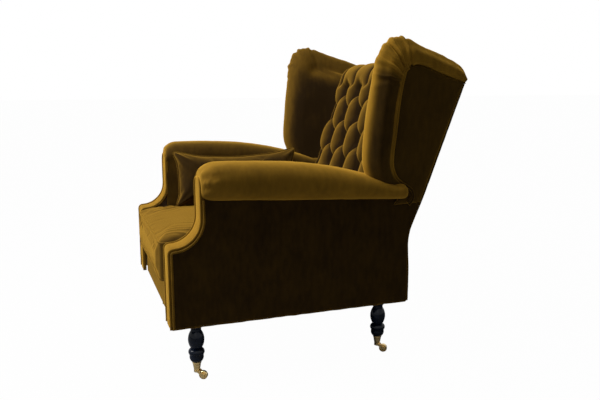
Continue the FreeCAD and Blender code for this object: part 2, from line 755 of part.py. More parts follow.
def arm_pads():
    """Roll over each arm rail and padding down the inside of the arm, fitted round the timber."""
    front, rear = size("arm_front"), size("roll_rear")
    nose = size("roll_nose_length")
    stations = [front, front + nose * 0.16, front + nose * 0.45, front + nose]
    tail = size("roll_tail")
    stations += [front + nose + (rear - tail - front - nose) * step / 5 for step in range(1, 6)]
    wires = [roll_section(y) for y in stations]
    wires.append(roll_section(rear - tail / 3, tail * 0.3))
    wires.append(roll_section(rear, tail * 0.67))
    roll = loft(wires)
    thick = size("slab_thick")
    inset = size("facing_thick")
    corner = size("foot_corner")
    scoop = size("scoop_radius")
    level = size("foot_height")
    x = size("arm_inner")
    diagonal = math.sqrt(0.5)
    points = [
        Vector(x, inset, size("deck_low")),
        Vector(x, inset, level - corner),
        Vector(x, corner, level - inset),
        Vector(x, front + inset, level + scoop),
        Vector(x, front + inset, size("slab_top")),
        Vector(x, rear_y(size("slab_top")) - size("post_depth + skin") * 2.4, size("slab_top")),
        Vector(x, size("rear_inner - post_depth * 2"), size("knee_height")),
        Vector(x, size("rear_inner - post_depth * 2"), size("deck_low")),
    ]
    inner_round = corner - inset
    mids = {
        1: Vector(x, corner - inner_round * diagonal, level - corner + inner_round * diagonal),
        2: Vector(x, corner + (scoop + inset) * diagonal, level + scoop - (scoop + inset) * diagonal),
    }
    slab = Part.Face(closed_wire(points, mids)).extrude(Vector(thick, 0, 0))
    whole = roll.fuse(slab).removeSplitter()
    for name, sign in sides():
        solid = whole if sign > 0 else mirrored(whole)
        fitted(f"arm_pad_{name}", solid, [
            f"arm_facing_{name}", f"front_post_{name}", f"arm_rail_{name}", f"back_post_{name}",
            f"outside_arm_{name}", f"outside_wing_{name}", f"wing_board_{name}",
        ])


def fitted(label, solid, names):
    """Pad cut to fit round the pieces that it wraps."""
    raw = doc.addObject("Part::Feature", f"{label}_filling")
    raw.Shape = solid
    raw.Placement = Placement(SHIFT, Rotation())
    around = doc.addObject("Part::MultiFuse", f"{label}_surroundings")
    around.Shapes = [part for part in PARTS if part.Label in names]
    cut = keep(doc.addObject("Part::Cut", label), label)
    cut.Base = raw
    cut.Tool = around
    return cut


# Wing pads
def wing_section(front, rear, thick, side):
    """Section of a wing pad from front to rear (y, z), its outer side that far out of the wing's plane."""
    front_at = Vector(0, front[0], front[1])
    rear_at = Vector(0, rear[0], rear[1])
    along = (rear_at - front_at).normalize()
    nose = size("nose_depth")
    seam = front_at + along * nose
    cheek = front_at + along * (nose * 0.3)
    outer_x = wing_x(seam.y, seam.z)
    inner_rear = size("arm_inner - crack")
    end_x = wing_x(rear_at.y, rear_at.z) + side
    nose_x = wing_x(front_at.y, front_at.z, thick * 0.42)
    inner_x = wing_x(seam.y, seam.z, thick)
    points = [
        Vector(inner_rear, rear_at.y, rear_at.z),
        Vector(inner_x, seam.y, seam.z),
        Vector(nose_x, front_at.y, front_at.z),
        Vector(outer_x + size("nose_proud"), seam.y, seam.z),
        Vector(outer_x + min(side, size("nose_proud") * 0.86), seam.y, seam.z),
        Vector(end_x, rear_at.y, rear_at.z),
    ]
    inner_mid = (points[0] + points[1]) / 2
    mids = {
        0: inner_mid + Vector(nose * 0.08, 0, 0),
        1: Vector(inner_x + (nose_x - inner_x) * 0.2, cheek.y, cheek.z),
        2: Vector(points[3].x - (points[3].x - nose_x) * 0.2, cheek.y, cheek.z),
    }
    return closed_wire(points, mids)


def wing_pads():
    """Padding inside each wing with its rolled front and top, fitted round board, post and arm."""
    gap = size("skin + post_depth") / math.cos(math.radians(size("back_rake")))
    edge = size("skin") / math.cos(math.radians(size("back_rake")))
    thick = size("wing_thick")
    foot = (size("wing_foot_y"), size("wing_foot_z"))
    waist = (size("wing_waist_y"), size("wing_waist_z"))
    head = (size("wing_head_y"), size("wing_head_z"))
    crown = (size("wing_crown_y"), size("wing_crown_z"))
    rear_top = size("wing_rear_z")

    def rear_at(z, back):
        return (rear_y(z) - back, z)

    flush, proud = -size("skin"), size("nose_proud")
    seam_rear = size("seam_rear_z")
    middle = (waist[0] + (head[0] - waist[0]) * 0.37, (waist[1] + head[1]) / 2)
    rise_y, rise_z = crown[0] - head[0], crown[1] - head[1]
    stations = [
        (foot, rear_at(size("slab_top") - size("roll_nose") * 0.28, gap), thick, flush),
        (waist, rear_at(waist[1], gap), thick, flush),
        (middle, rear_at(waist[1] + (seam_rear - waist[1]) * 0.6, gap), thick, flush),
        (head, rear_at(waist[1] + (seam_rear - waist[1]) * 0.88, gap), thick, flush),
    ]
    for turn in (20, 40, 58, 74, 88):
        angle = math.radians(turn)
        front = (crown[0] - rise_y * math.cos(angle) * 0.92, head[1] + rise_z * math.sin(angle))
        share = math.sin(angle)
        rear = rear_at(seam_rear + size("crack") + (rear_top - seam_rear - size("crack")) * share, edge)
        stations.append((front, rear, thick * (0.3 + 0.7 * math.cos(angle) ** 0.7), proud * (1 - share)))
    wires = [wing_section(*station) for station in stations]
    whole = loft(wires)
    for name, sign in sides():
        solid = whole if sign > 0 else mirrored(whole)
        fitted(f"wing_pad_{name}", solid, [
            f"wing_board_{name}", f"back_post_{name}", f"arm_pad_{name}", f"outside_wing_{name}",
            f"arm_rail_{name}", "crest_rail", "outside_back",
        ])


# Inside back
def back_face(z):
    """Front of the inside back at a height, at its edges."""
    return size("back_face_y") + (z - size("back_pad_low")) * math.tan(math.radians(size("back_lean")))


def back_section(x):
    """Outline of the inside back at x: leaning front, rounded top, rear against the webbing."""
    half = size("arm_inner - crack * 2")
    share = 1 - (x / half) ** 2
    swell = size("back_swell") * share
    top = size("back_pad_top") + size("back_crown") * (share - 1)
    rake = math.radians(size("back_rake"))
    gap = size("skin + post_depth + strap") / math.cos(rake)
    low = size("back_pad_low")
    roof = size("back_roof")
    front_top = top - roof
    bend = size("knee_height")
    rear = size("rear_inner - post_depth - strap")
    peak_y = back_face(front_top) + roof * 1.24
    rear_top = size("back_top")
    back_edge = size("skin") / math.cos(rake)
    points = [
        Vector(x, back_face(low) - swell * 0.4, low),
        Vector(x, back_face(front_top) - swell, front_top),
        Vector(x, peak_y, top),
        Vector(x, rear_y(rear_top) - back_edge, rear_top - size("skin")),
        Vector(x, rear_y(size("crest_low + crest_height")) - gap, size("crest_low + crest_height")),
        Vector(x, rear_y(bend + roof * 0.5) - gap, bend + roof * 0.5),
        Vector(x, rear, bend - roof * 0.7),
        Vector(x, rear, low),
    ]
    mids = {
        1: Vector(x, back_face(front_top) - swell + roof * 0.33, top - roof * 0.29),
        2: Vector(x, (peak_y + points[3].y) / 2 + roof * 0.1, (top + rear_top) / 2 + roof * 0.14),
    }
    return closed_wire(points, mids)


def tuft_centres():
    """Places of the buttons: rows staggered by half a pitch, x and height."""
    centres = []
    pitch = size("tuft_pitch")
    half = size("arm_inner - crack * 2")
    for row in range(int(size("tuft_rows"))):
        count = 5 if row % 2 == 0 else 4
        for column in range(count):
            x = (column - (count - 1) / 2) * pitch
            if abs(x) < half - size("button_radius"):
                centres.append((row, x, size("tuft_low") + row * size("tuft_rise")))
    return centres


def face_point(x, z, depth=0.0):
    """Point below the front of the inside back."""
    half = size("arm_inner - crack * 2")
    lean = math.radians(size("back_lean"))
    swell = size("back_swell") * (1 - (x / half) ** 2)
    low = size("back_pad_low")
    rise = (z - low) / (size("back_pad_top") - low)
    face = Vector(x, back_face(z) - swell * (0.4 + 0.6 * rise), z)
    return face + Vector(0, math.cos(lean), -math.sin(lean)) * depth


def fold_cutter(start, end):
    """Triangular bar along a sewn fold between two points of the face."""
    out = Vector(0, -math.cos(math.radians(size("back_lean"))), math.sin(math.radians(size("back_lean"))))
    along = (end - start).normalize()
    across = along.cross(out).normalize() * (size("pleat_width") / 2)
    above = size("pleat_depth + tuft_mouth / 4")
    rise = out * above
    ridge = out * -size("pleat_depth")
    spread = 1 + above / size("pleat_depth")
    corners = [start + across * spread + rise, start - across * spread + rise, start + ridge]
    return Part.Face(closed_wire(corners)).extrude(end - start)


def inside_back():
    """Buttoned inside back: dimples, diamond folds between buttons and pleats over the top edge."""
    half = size("arm_inner - crack * 2")
    whole = loft([back_section(half * share) for share in (-1, -0.5, 0, 0.5, 1)])
    centres = tuft_centres()
    out = Vector(0, -math.cos(math.radians(size("back_lean"))), math.sin(math.radians(size("back_lean"))))
    depth, radius, mouth = size("tuft_depth"), size("tuft_radius"), size("tuft_mouth")
    core = size("button_radius + clearance")
    cutters = []
    buttons = []
    for row, x, z in centres:
        base = face_point(x, z, depth)
        flare = radius + (radius - core) * mouth / depth
        cutters.append(Part.makeCone(core, flare, depth + mouth, base, out))
        button = Part.makeCylinder(size("button_radius"), size("button_height") * 0.4, base, out)
        dome_base = base + out * (size("button_height") * 0.4)
        dome = Part.makeCone(
            size("button_radius"), size("button_radius") * 0.55, size("button_height") * 0.6, dome_base, out,
        )
        buttons.append(button.fuse(dome).removeSplitter())
    pitch, rise = size("tuft_pitch"), size("tuft_rise")
    last_row = int(size("tuft_rows")) - 1
    for row, x, z in centres:
        start = face_point(x, z)
        for other_row, other_x, other_z in centres:
            if other_row == row + 1 and abs(abs(other_x - x) - pitch / 2) < 1:
                cutters.append(fold_cutter(start, face_point(other_x, other_z)))
        if row == last_row:
            cutters.append(fold_cutter(start, face_point(x, size("back_pad_top") + radius)))
        if row == 0:
            cutters.append(fold_cutter(face_point(x, size("back_pad_low") - radius), start))
    quilted = whole.cut(cutters)
    fitted("back_pad", quilted, ["crest_rail", "back_tie_rail", "outside_back", "back_webbing"])
    shape_piece("back_buttons", Part.makeCompound(buttons))


# Loose cushions
def cushion_outline(centre, half_x, half_y, corner, draw_in, height):
    """Level outline with rounded corners and sides that pull in between them."""
    x, y = half_x - corner, half_y - corner
    points = [
        Vector(x, -half_y, 0), Vector(half_x, -y, 0), Vector(half_x, y, 0), Vector(x, half_y, 0),
        Vector(-x, half_y, 0), Vector(-half_x, y, 0), Vector(-half_x, -y, 0), Vector(-x, -half_y, 0),
    ]
    round_off = corner * (1 - math.sqrt(0.5))
    mids = {
        0: Vector(half_x - round_off, -half_y + round_off, 0),
        1: Vector(half_x - draw_in, 0, 0),
        2: Vector(half_x - round_off, half_y - round_off, 0),
        3: Vector(0, half_y - draw_in, 0),
        4: Vector(-half_x + round_off, half_y - round_off, 0),
        5: Vector(-half_x + draw_in, 0, 0),
        6: Vector(-half_x + round_off, -half_y + round_off, 0),
        7: Vector(0, -half_y + draw_in, 0),
    }
    wire = closed_wire(points, mids)
    wire.translate(centre + Vector(0, 0, height))
    return wire


def seat_cushion():
    """Box cushion between the arms: straight border, crowned top, sides that pull in between corners."""
    low = size("cushion_low")
    border, crown = size("seat_border"), size("seat_crown")
    half_x = size("arm_inner - seat_play")
    front, rear = -size("seat_front"), size("back_face_y - seat_rear_gap")
    half_y = (rear - front) / 2
    corner, draw_in = size("seat_corner"), size("seat_draw")
    centre = Vector(0, (rear + front) / 2, low)

    def ring(inset, height, sink=0.0):
        return cushion_outline(
            centre, half_x - inset, half_y - inset, corner + inset * 0.6, draw_in + sink, height,
        )

    wires = [
        ring(half_x * 0.02, 0), ring(0, border * 0.07), ring(half_x * 0.008, border * 0.5),
        ring(0, border * 0.976), ring(half_x * 0.06, border + crown * 0.34),
        ring(half_x * 0.26, border + crown * 0.78), ring(half_x * 0.55, border + crown),
    ]
    shape_piece("seat_cushion", loft(wires))


def lumbar_cushion():
    """Knife-edged cushion on its long side, leaning on the inside of the right arm."""
    half_y, half_x = size("lumbar_length") / 2, size("lumbar_height") / 2
    half_thick = size("lumbar_thick") / 2
    draw_in = size("lumbar_draw")
    wires = []
    for share, inset in ((-1, 0.62), (-0.72, 0.3), (-0.36, 0.09), (0, 0.0), (0.36, 0.09), (0.72, 0.3), (1, 0.62)):
        shrink = half_x * inset
        wires.append(cushion_outline(
            Vector(0, 0, 0), half_x - shrink, half_y - shrink, size("lumbar_corner") + shrink * 0.3,
            draw_in * (1 - inset * 1.2), half_thick * share,
        ))
    solid = loft(wires)
    upright = Rotation(Vector(0, 1, 0), 90 - size("lumbar_tilt"))
    level = size("cushion_low + seat_border + seat_crown - lumbar_sink")
    level += half_x * math.cos(math.radians(size("lumbar_tilt")))
    middle = Vector(-size("lumbar_side"), size("lumbar_front") + half_y, level)
    part = shape_piece("lumbar_cushion", solid)
    part.Placement = Placement(middle + SHIFT, upright)


# Legs
def leg(label, x, y):
    """Turned leg: dowel, collar, neck, long bulb, waist, ringed ball and a toe in the castor cup."""
    body = new_body(label)
    sketch = new_sketch(body, f"{label}_profile", "XZ_Plane")
    rim = "castor_height"
    toe_low = "(cup_low + cup_floor)"
    toe_foot = "(cup_base - cup_wall)"
    corners = [
        ("0", toe_low),
        (toe_foot, toe_low),
        ("leg_toe", rim),
        ("leg_toe * 1.2", rim),
        ("leg_ball * 0.965", f"{rim} + leg_height * 0.15"),
        ("leg_ball * 0.965", f"{rim} + leg_height * 0.19"),
        ("leg_waist", f"{rim} + leg_height * 0.345"),
        ("leg_neck", f"{rim} + leg_height * 0.8"),
        ("leg_neck", f"{rim} + leg_height * 0.86"),
        ("leg_collar", f"{rim} + leg_height * 0.9"),
        ("leg_collar", "frame_low"),
        ("leg_dowel", "frame_low"),
        ("leg_dowel", "frame_low + leg_dowel_length"),
        ("0", "frame_low + leg_dowel_length"),
    ]
    arcs = {3: ("leg_ball * 0.85", -1), 5: ("leg_ball * 0.52", -1), 6: ("leg_height * 0.4", -1)}
    draw(sketch, corners, arcs)
    revolve(body, sketch)
    seat_at(body, x=x, y=y)
    return body


# Castors
def castor(corner, x, y):
    """Cup with its riveted pintle, horn, axle and wheel; the last three turn on the pintle."""
    cup = new_body(f"castor_cup_{corner}")
    sketch = new_sketch(cup, f"cup_profile_{corner}", "XZ_Plane")
    plate_low = "(cup_low - clearance - horn_plate)"
    draw(sketch, [
        ("0", f"{plate_low} - clearance - pintle_rivet"),
        ("pintle_head", f"{plate_low} - clearance - pintle_rivet"),
        ("pintle_head", f"{plate_low} - clearance"),
        ("pintle_radius", f"{plate_low} - clearance"),
        ("pintle_radius", "cup_low"),
        ("cup_base", "cup_low"),
        ("leg_toe + cup_wall", "castor_height - cup_bead"),
        ("leg_toe + cup_wall + cup_bead / 3", "castor_height - cup_bead"),
        ("leg_toe + cup_wall + cup_bead / 3", "castor_height"),
        ("leg_toe", "castor_height"),
        ("cup_base - cup_wall", "cup_low + cup_floor"),
        ("0", "cup_low + cup_floor"),
    ])
    revolve(cup, sketch)
    seat_at(cup, x=x, y=y)

    horn = new_body(f"castor_horn_{corner}")
    sketch = new_sketch(horn, f"horn_plate_{corner}", "XZ_Plane")
    draw(sketch, [
        ("pintle_radius + running_fit", plate_low),
        ("horn_radius", plate_low),
        ("horn_radius", f"{plate_low} + horn_plate"),
        ("pintle_radius + running_fit", f"{plate_low} + horn_plate"),
    ])
    revolve(horn, sketch)
    width = "(wheel_width + wheel_gap * 2 + horn_cheek * 2)"
    slot = "(wheel_width + wheel_gap * 2)"
    for side, sign in sides():
        cheek = new_sketch(horn, f"horn_cheek_{side}_{corner}", "YZ_Plane")
        draw(cheek, [
            ("-horn_radius * 0.3", f"{plate_low} + horn_plate"),
            ("-horn_radius * 0.3", f"{plate_low} + horn_plate * 0.4"),
            ("castor_trail - horn_ear", "wheel_radius - horn_ear * 0.3"),
            ("castor_trail", "wheel_radius - horn_ear"),
            ("castor_trail", "wheel_radius + horn_ear"),
            ("horn_radius", f"{plate_low} + horn_plate"),
        ], {1: ("horn_ear * 4", 1), 2: ("horn_ear", -1), 3: ("horn_ear * 1.01", -1), 4: ("horn_ear * 3", 1)})
        cheek.AttachmentOffset = Placement(Vector(0, 0, 0), Rotation())
        cheek.setExpression(
            "AttachmentOffset.Base.z", formula(f"{slot} / 2" if sign > 0 else f"-{width} / 2")
        )
        pad(horn, cheek, "horn_cheek")
    bore = new_sketch(horn, f"horn_bore_{corner}", "YZ_Plane")
    draw_circle(bore, "castor_trail", "wheel_radius", "axle_radius")
    pocket(horn, bore, f"{width} * 2", midplane=True)
    clear = new_sketch(horn, f"horn_room_{corner}", "YZ_Plane")
    draw_circle(clear, "castor_trail", "wheel_radius", "wheel_radius + wheel_gap")
    pocket(horn, clear, slot, midplane=True)

    axle = new_body(f"castor_axle_{corner}")
    sketch = new_sketch(axle, f"axle_section_{corner}", "YZ_Plane")
    draw_circle(sketch, "castor_trail", "wheel_radius", "axle_radius")
    pad(axle, sketch, width, midplane=True)

    wheel = new_body(f"castor_wheel_{corner}")
    sketch = new_sketch(wheel, f"wheel_profile_{corner}", "XZ_Plane")
    hub = "axle_radius + running_fit"
    draw(sketch, [
        (hub, "-wheel_width / 2"),
        ("wheel_radius * 0.42", "-wheel_width / 2"),
        ("wheel_radius * 0.5", "-wheel_width * 0.36"),
        ("wheel_radius * 0.8", "-wheel_width * 0.36"),
        ("wheel_radius - wheel_bevel", "-wheel_width / 2"),
        ("wheel_radius", "-wheel_width / 2 + wheel_bevel"),
        ("wheel_radius", "wheel_width / 2 - wheel_bevel"),
        ("wheel_radius - wheel_bevel", "wheel_width / 2"),
        ("wheel_radius * 0.8", "wheel_width * 0.36"),
        ("wheel_radius * 0.5", "wheel_width * 0.36"),
        ("wheel_radius * 0.42", "wheel_width / 2"),
        (hub, "wheel_width / 2"),
    ])
    revolve(wheel, sketch)

    turn = Rotation(Vector(0, 0, 1), -size("castor_turn"))
    for part in (horn, axle):
        part.Placement = Placement(Vector(0, 0, 0), turn)
        seat_at(part, x=x, y=y)
    wheel.Placement = Placement(Vector(0, 0, 0), turn * Rotation(Vector(0, 1, 0), 90))
    seat_at(
        wheel, x=f"{x} + castor_trail * sin(castor_turn)", y=f"{y} + castor_trail * cos(castor_turn)",
        z="wheel_radius",
    )


def legs_and_castors():
    """A leg and a castor under each corner."""
    for row, y in (("front", "leg_front"), ("rear", "leg_back")):
        for name, sign in sides():
            x = "leg_side" if sign > 0 else "-(leg_side)"
            leg(f"leg_{row}_{name}", x, y)
            castor(f"{row}_{name}", x, y)


seat_rails()
corner_blocks()
arm_fronts()
back_frame()
webbing()
deck_and_border()
outside_panels()
outside_wings()
doc.recompute()
arm_pads()
doc.recompute()
wing_pads()
inside_back()
seat_cushion()
lumbar_cushion()
legs_and_castors()
doc.recompute()

faults = []
for item in doc.Objects:
    if any(state in ("Invalid", "Error") for state in item.State):
        faults.append(f"{item.Name}: {item.State}")
for part in PARTS:
    if part.Shape.isNull() or not part.Shape.isValid() or not part.Shape.Solids:
        faults.append(f"{part.Label}: no valid solid")
if faults:
    raise SystemExit("Not written: " + "; ".join(faults))

os.makedirs("parts", exist_ok=True)
for part in PARTS:
    part.Shape.exportStep(f"parts/{part.Label}.step")
box_all = Part.makeCompound([part.Shape for part in PARTS]).BoundBox
print(len(PARTS), "pieces, from", box_all)
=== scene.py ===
"""Dresses the wingback armchair: velvet pads, cushions, welts, turned legs and brass castors. Metres."""

from __future__ import annotations

import json
import logging
import math
from dataclasses import dataclass, field
from enum import Enum
from typing import Sequence

import bpy
import numpy as np
from mathutils import Matrix, Vector, noise
from mathutils.bvhtree import BVHTree

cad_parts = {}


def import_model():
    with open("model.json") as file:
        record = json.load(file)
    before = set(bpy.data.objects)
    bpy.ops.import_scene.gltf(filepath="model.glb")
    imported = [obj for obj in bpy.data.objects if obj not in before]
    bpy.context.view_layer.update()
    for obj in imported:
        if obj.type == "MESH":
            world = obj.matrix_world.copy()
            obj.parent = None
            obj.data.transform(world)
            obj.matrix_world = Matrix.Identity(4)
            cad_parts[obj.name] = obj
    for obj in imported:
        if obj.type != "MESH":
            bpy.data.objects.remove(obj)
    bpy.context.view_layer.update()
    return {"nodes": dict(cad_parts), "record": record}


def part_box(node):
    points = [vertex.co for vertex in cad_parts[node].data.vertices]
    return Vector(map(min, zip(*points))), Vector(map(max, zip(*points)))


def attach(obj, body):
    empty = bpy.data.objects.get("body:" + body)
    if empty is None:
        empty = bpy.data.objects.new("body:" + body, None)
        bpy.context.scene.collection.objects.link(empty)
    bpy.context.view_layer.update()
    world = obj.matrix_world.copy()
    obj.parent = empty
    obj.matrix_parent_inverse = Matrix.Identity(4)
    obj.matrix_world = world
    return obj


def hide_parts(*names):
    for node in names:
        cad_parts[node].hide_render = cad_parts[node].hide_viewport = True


LOG = logging.getLogger("armchair")
CHAIR = "chair"
VELVET = "velvet"
# Point attribute that mixes the velvet from deep to lit and strengthens its painted sheen: painted light and shade
# set piece by piece, partly also the lay of the pile.
NAP_LIGHT_ATTRIBUTE = "nap"
# Plain level of that painted light, where a piece sets none.
BASE_NAP_LIGHT = 0.1
QUARTER = math.pi / 2
TINY = 1e-9

Array = np.ndarray
Colour = tuple[float, float, float]
Profile = Sequence[tuple[float, float]]


class Side(Enum):
    """The sitter's left or right, with the sign of X."""

    LEFT = 1
    RIGHT = -1

    @property
    def word(self) -> str:
        """Name of the side as the frame's nodes carry it."""
        return self.name.lower()


# Curves and meshes
def smooth(points: Array, count: int) -> Array:
    """Runs a rounded line through points along their first axis.

    Args:
        points: Rows of points or of whole sections, any shape after the first axis.
        count: How many rows to give back, evenly spaced in the line's own parameter.

    Returns:
        The resampled rows.
    """
    points = np.asarray(points, dtype=float)
    padded = np.concatenate([2 * points[:1] - points[1:2], points, 2 * points[-1:] - points[-2:-1]])
    places = np.linspace(0, len(points) - 1, count)
    spans = np.minimum(places.astype(int), len(points) - 2)
    share = (places - spans).reshape((-1,) + (1,) * (points.ndim - 1))
    before, start, end, after = (padded[spans + shift] for shift in range(4))
    return 0.5 * (
        2 * start
        + (end - before) * share
        + (2 * before - 5 * start + 4 * end - after) * share**2
        + (3 * start - before - 3 * end + after) * share**3
    )


def even(points: Array, count: int) -> Array:
    """Spaces points evenly by length along the line that they make.

    Args:
        points: Rows of coordinates.
        count: How many rows to give back.

    Returns:
        The respaced rows.
    """
    points = np.asarray(points, dtype=float)
    steps = np.linalg.norm(np.diff(points, axis=0), axis=1)
    run = np.concatenate([[0.0], np.cumsum(steps)])
    places = np.linspace(0, run[-1], count)
    return np.stack([np.interp(places, run, points[:, axis]) for axis in range(points.shape[1])], axis=1)


def even_loop(ring: Array, count: int) -> Array:
    """Spaces points evenly round a closed line."""
    return even(np.concatenate([ring, ring[:1]]), count + 1)[:-1]


def bell(value: Array | float, middle: float, width: float) -> Array | float:
    """Gives a hump of height one round the middle."""
    return np.exp(-(((value - middle) / width) ** 2))


def ease(value: Array | float, start: float, end: float) -> Array | float:
    """Climbs softly from nought at start to one at end."""
    share = np.clip((value - start) / (end - start), 0, 1)
    return share * share * (3 - 2 * share)


def clipped(value: float) -> float:
    """Keeps a share between nought and one."""
    return min(max(value, 0), 1)


def rounding(share: float) -> float:
    """Rises from nought to one as a quarter circle does."""
    return math.sqrt(1 - (1 - clipped(share)) ** 2)


def grain(points: Array, wavelength: Sequence[float] | float, seed: float) -> Array:
    """Reads smooth noise at points.

    Args:
        points: Array whose last axis holds coordinates.
        wavelength: Size of a lump, one number or one for each axis.
        seed: Shift that gives each piece its own lumps.

    Returns:
        Values from about -1 to 1, in the shape of the points.
    """
    flat = points.reshape(-1, 3) / np.asarray(wavelength, dtype=float) + seed * 7.31
    return np.array([noise.noise(Vector(row)) for row in flat]).reshape(points.shape[:-1])


def heading(line: Array) -> Array:
    """Unit directions along a line of points."""
    run = np.gradient(line, axis=0)
    return run / np.maximum(np.linalg.norm(run, axis=1, keepdims=True), TINY)


def outward(grid: Array, row: int, column: int, axis: int) -> Array:
    """Unit normals of a grid, turned so that those at one point lean along plus the axis.

    Args:
        grid: Rows and columns of points.
        row: Row of the point that decides.
        column: Column of the point that decides.
        axis: Axis along which its normal is to lean.

    Returns:
        One normal for each point.
    """
    normal = np.cross(np.gradient(grid, axis=0), np.gradient(grid, axis=1))
    normal /= np.maximum(np.linalg.norm(normal, axis=2, keepdims=True), TINY)
    return -normal if normal[row, column, axis] < 0 else normal


def new_piece(name: str, points: Array, faces: list[Sequence[int]]) -> bpy.types.Object:
    """Makes a smooth-shaded mesh object, its faces turned outwards.

    Args:
        name: Name of the piece.
        points: Its points, in any shape whose last axis holds coordinates.
        faces: Rows of point numbers.

    Returns:
        The object.
    """
    mesh = bpy.data.meshes.new(name)
    mesh.from_pydata(np.asarray(points).reshape(-1, 3).tolist(), [], faces)
    mesh.validate()
    piece = bpy.data.objects.new(name, mesh)
    bpy.context.scene.collection.objects.link(piece)
    bpy.context.view_layer.objects.active = piece
    piece.select_set(True)
    bpy.ops.object.mode_set(mode="EDIT")
    bpy.ops.mesh.select_all(action="SELECT")
    bpy.ops.mesh.normals_make_consistent(inside=False)
    bpy.ops.object.mode_set(mode="OBJECT")
    piece.select_set(False)
    mesh.polygons.foreach_set("use_smooth", [True] * len(mesh.polygons))
    return piece


def tube_faces(rows: int, columns: int, base: int = 0) -> list[Sequence[int]]:
    """Faces of a tube of rings, capped at both ends.

    Args:
        rows: Number of rings.
        columns: Points in a ring.
        base: Number of the tube's first point.

    Returns:
        The faces as rows of point numbers.
    """
    faces: list[Sequence[int]] = []
    for low in range(base, base + (rows - 1) * columns, columns):
        for column in range(columns):
            after = (column + 1) % columns
            faces.append((low + column, low + after, low + columns + after, low + columns + column))
    faces.append(tuple(range(base, base + columns))[::-1])
    faces.append(tuple(range(base + (rows - 1) * columns, base + rows * columns)))
    return faces


def ring_tube(name: str, grid: Array) -> bpy.types.Object:
    """Closed piece from rings of points, one ring in a row of the grid."""
    return new_piece(name, grid, tube_faces(grid.shape[0], grid.shape[1]))


def cord_rings(path: Array, radius: float, sides: int = 10) -> Array:
    """Rings of a round cord along a path, its frame carried along without twist.

    Args:
        path: Points of its middle line.
        radius: Radius of the cord.
        sides: Points in a ring.

    Returns:
        One ring in a row.
    """
    path = np.asarray(path, dtype=float)
    tangents = heading(path)
    helper = np.array([1.0, 0.0, 0.0]) if abs(tangents[0][0]) < 0.8 else np.array([0.0, 0.0, 1.0])
    angles = np.linspace(0, 2 * math.pi, sides, endpoint=False)
    rings = []
    for centre, tangent in zip(path, tangents):
        helper = helper - tangent * float(helper @ tangent)
        helper /= np.linalg.norm(helper)
        other = np.cross(tangent, helper)
        rings.append(centre + radius * (np.outer(np.cos(angles), helper) + np.outer(np.sin(angles), other)))
    return np.array(rings)


def welt(name: str, path: Array, radius: float, seed: float) -> bpy.types.Object:
    """Piping cord sewn along a path, slightly uneven as bias-cut velvet is.

    Args:
        name: Name of the piece.
        path: Points of its middle line.
        radius: Radius of the covered cord.
        seed: Shift of its unevenness.

    Returns:
        The mesh object.
    """
    step, lump, uneven = 0.004, 0.022, 0.12
    length = float(np.linalg.norm(np.diff(path, axis=0), axis=1).sum())
    path = even(path, max(int(length / step), 8))
    lumps = grain(path, lump, seed)[:, None, None]
    middle = path[:, None, :]
    return ring_tube(name, middle + (cord_rings(path, radius) - middle) * (1 + uneven * lumps))


def two_faced(outer: Array, inner: Array) -> Array:
    """Rings of a thin panel, out along its face and back along its reverse."""
    return np.concatenate([outer, inner[:, ::-1]], axis=1)


def read_points(piece: bpy.types.Object) -> Array:
    """Points of a mesh as rows."""
    flat = np.empty(len(piece.data.vertices) * 3)
    piece.data.vertices.foreach_get("co", flat)
    return flat.reshape(-1, 3)


def write_points(piece: bpy.types.Object, points: Array) -> None:
    """Moves the points of a mesh."""
    piece.data.vertices.foreach_set("co", points.ravel())
    piece.data.update()


def read_normals(piece: bpy.types.Object) -> Array:
    """Normals of a mesh's points as rows."""
    return np.array([vertex.normal[:] for vertex in piece.data.vertices])


def apply_modifier(piece: bpy.types.Object, modifier: bpy.types.Modifier) -> None:
    """Makes a modifier's result the mesh itself."""
    bpy.context.view_layer.objects.active = piece
    bpy.ops.object.modifier_apply(modifier=modifier.name)


def remesh(piece: bpy.types.Object, voxel: float) -> None:
    """Gives a closed piece an even skin of quads."""
    modifier = piece.modifiers.new("even_skin", "REMESH")
    modifier.mode = "VOXEL"
    modifier.voxel_size = voxel
    modifier.use_smooth_shade = True
    apply_modifier(piece, modifier)


def subdivide(piece: bpy.types.Object) -> None:
    """Adds one finer level to a piece's skin and makes it part of the mesh."""
    modifier = piece.modifiers.new("finer_skin", "SUBSURF")
    modifier.levels = modifier.render_levels = 1
    apply_modifier(piece, modifier)
    piece.data.polygons.foreach_set("use_smooth", [True] * len(piece.data.polygons))


def stuff(piece: bpy.types.Object, pressure: float, cap: float) -> None:
    """Swells a closed piece as stuffed cloth, and keeps every point within a cap of where it was.

    Args:
        piece: Closed mesh with an even skin.
        pressure: Pressure inside it.
        cap: Farthest that a point may move, in metres.
    """
    before = read_points(piece)
    modifier = piece.modifiers.new("stuffing", "CLOTH")
    cloth = {
        "quality": 5, "mass": 0.3, "tension_stiffness": 14, "compression_stiffness": 14, "shear_stiffness": 5,
        "bending_stiffness": 0.4, "use_pressure": True, "uniform_pressure_force": pressure,
    }
    for name, value in cloth.items():
        setattr(modifier.settings, name, value)
    modifier.settings.effector_weights.gravity = 0
    scene = bpy.context.scene
    for frame_number in range(1, 21):
        scene.frame_set(frame_number)
    apply_modifier(piece, modifier)
    scene.frame_set(1)
    moved = read_points(piece) - before
    distance = np.linalg.norm(moved, axis=1, keepdims=True)
    write_points(piece, before + moved * np.minimum(1, cap / np.maximum(distance, TINY)))


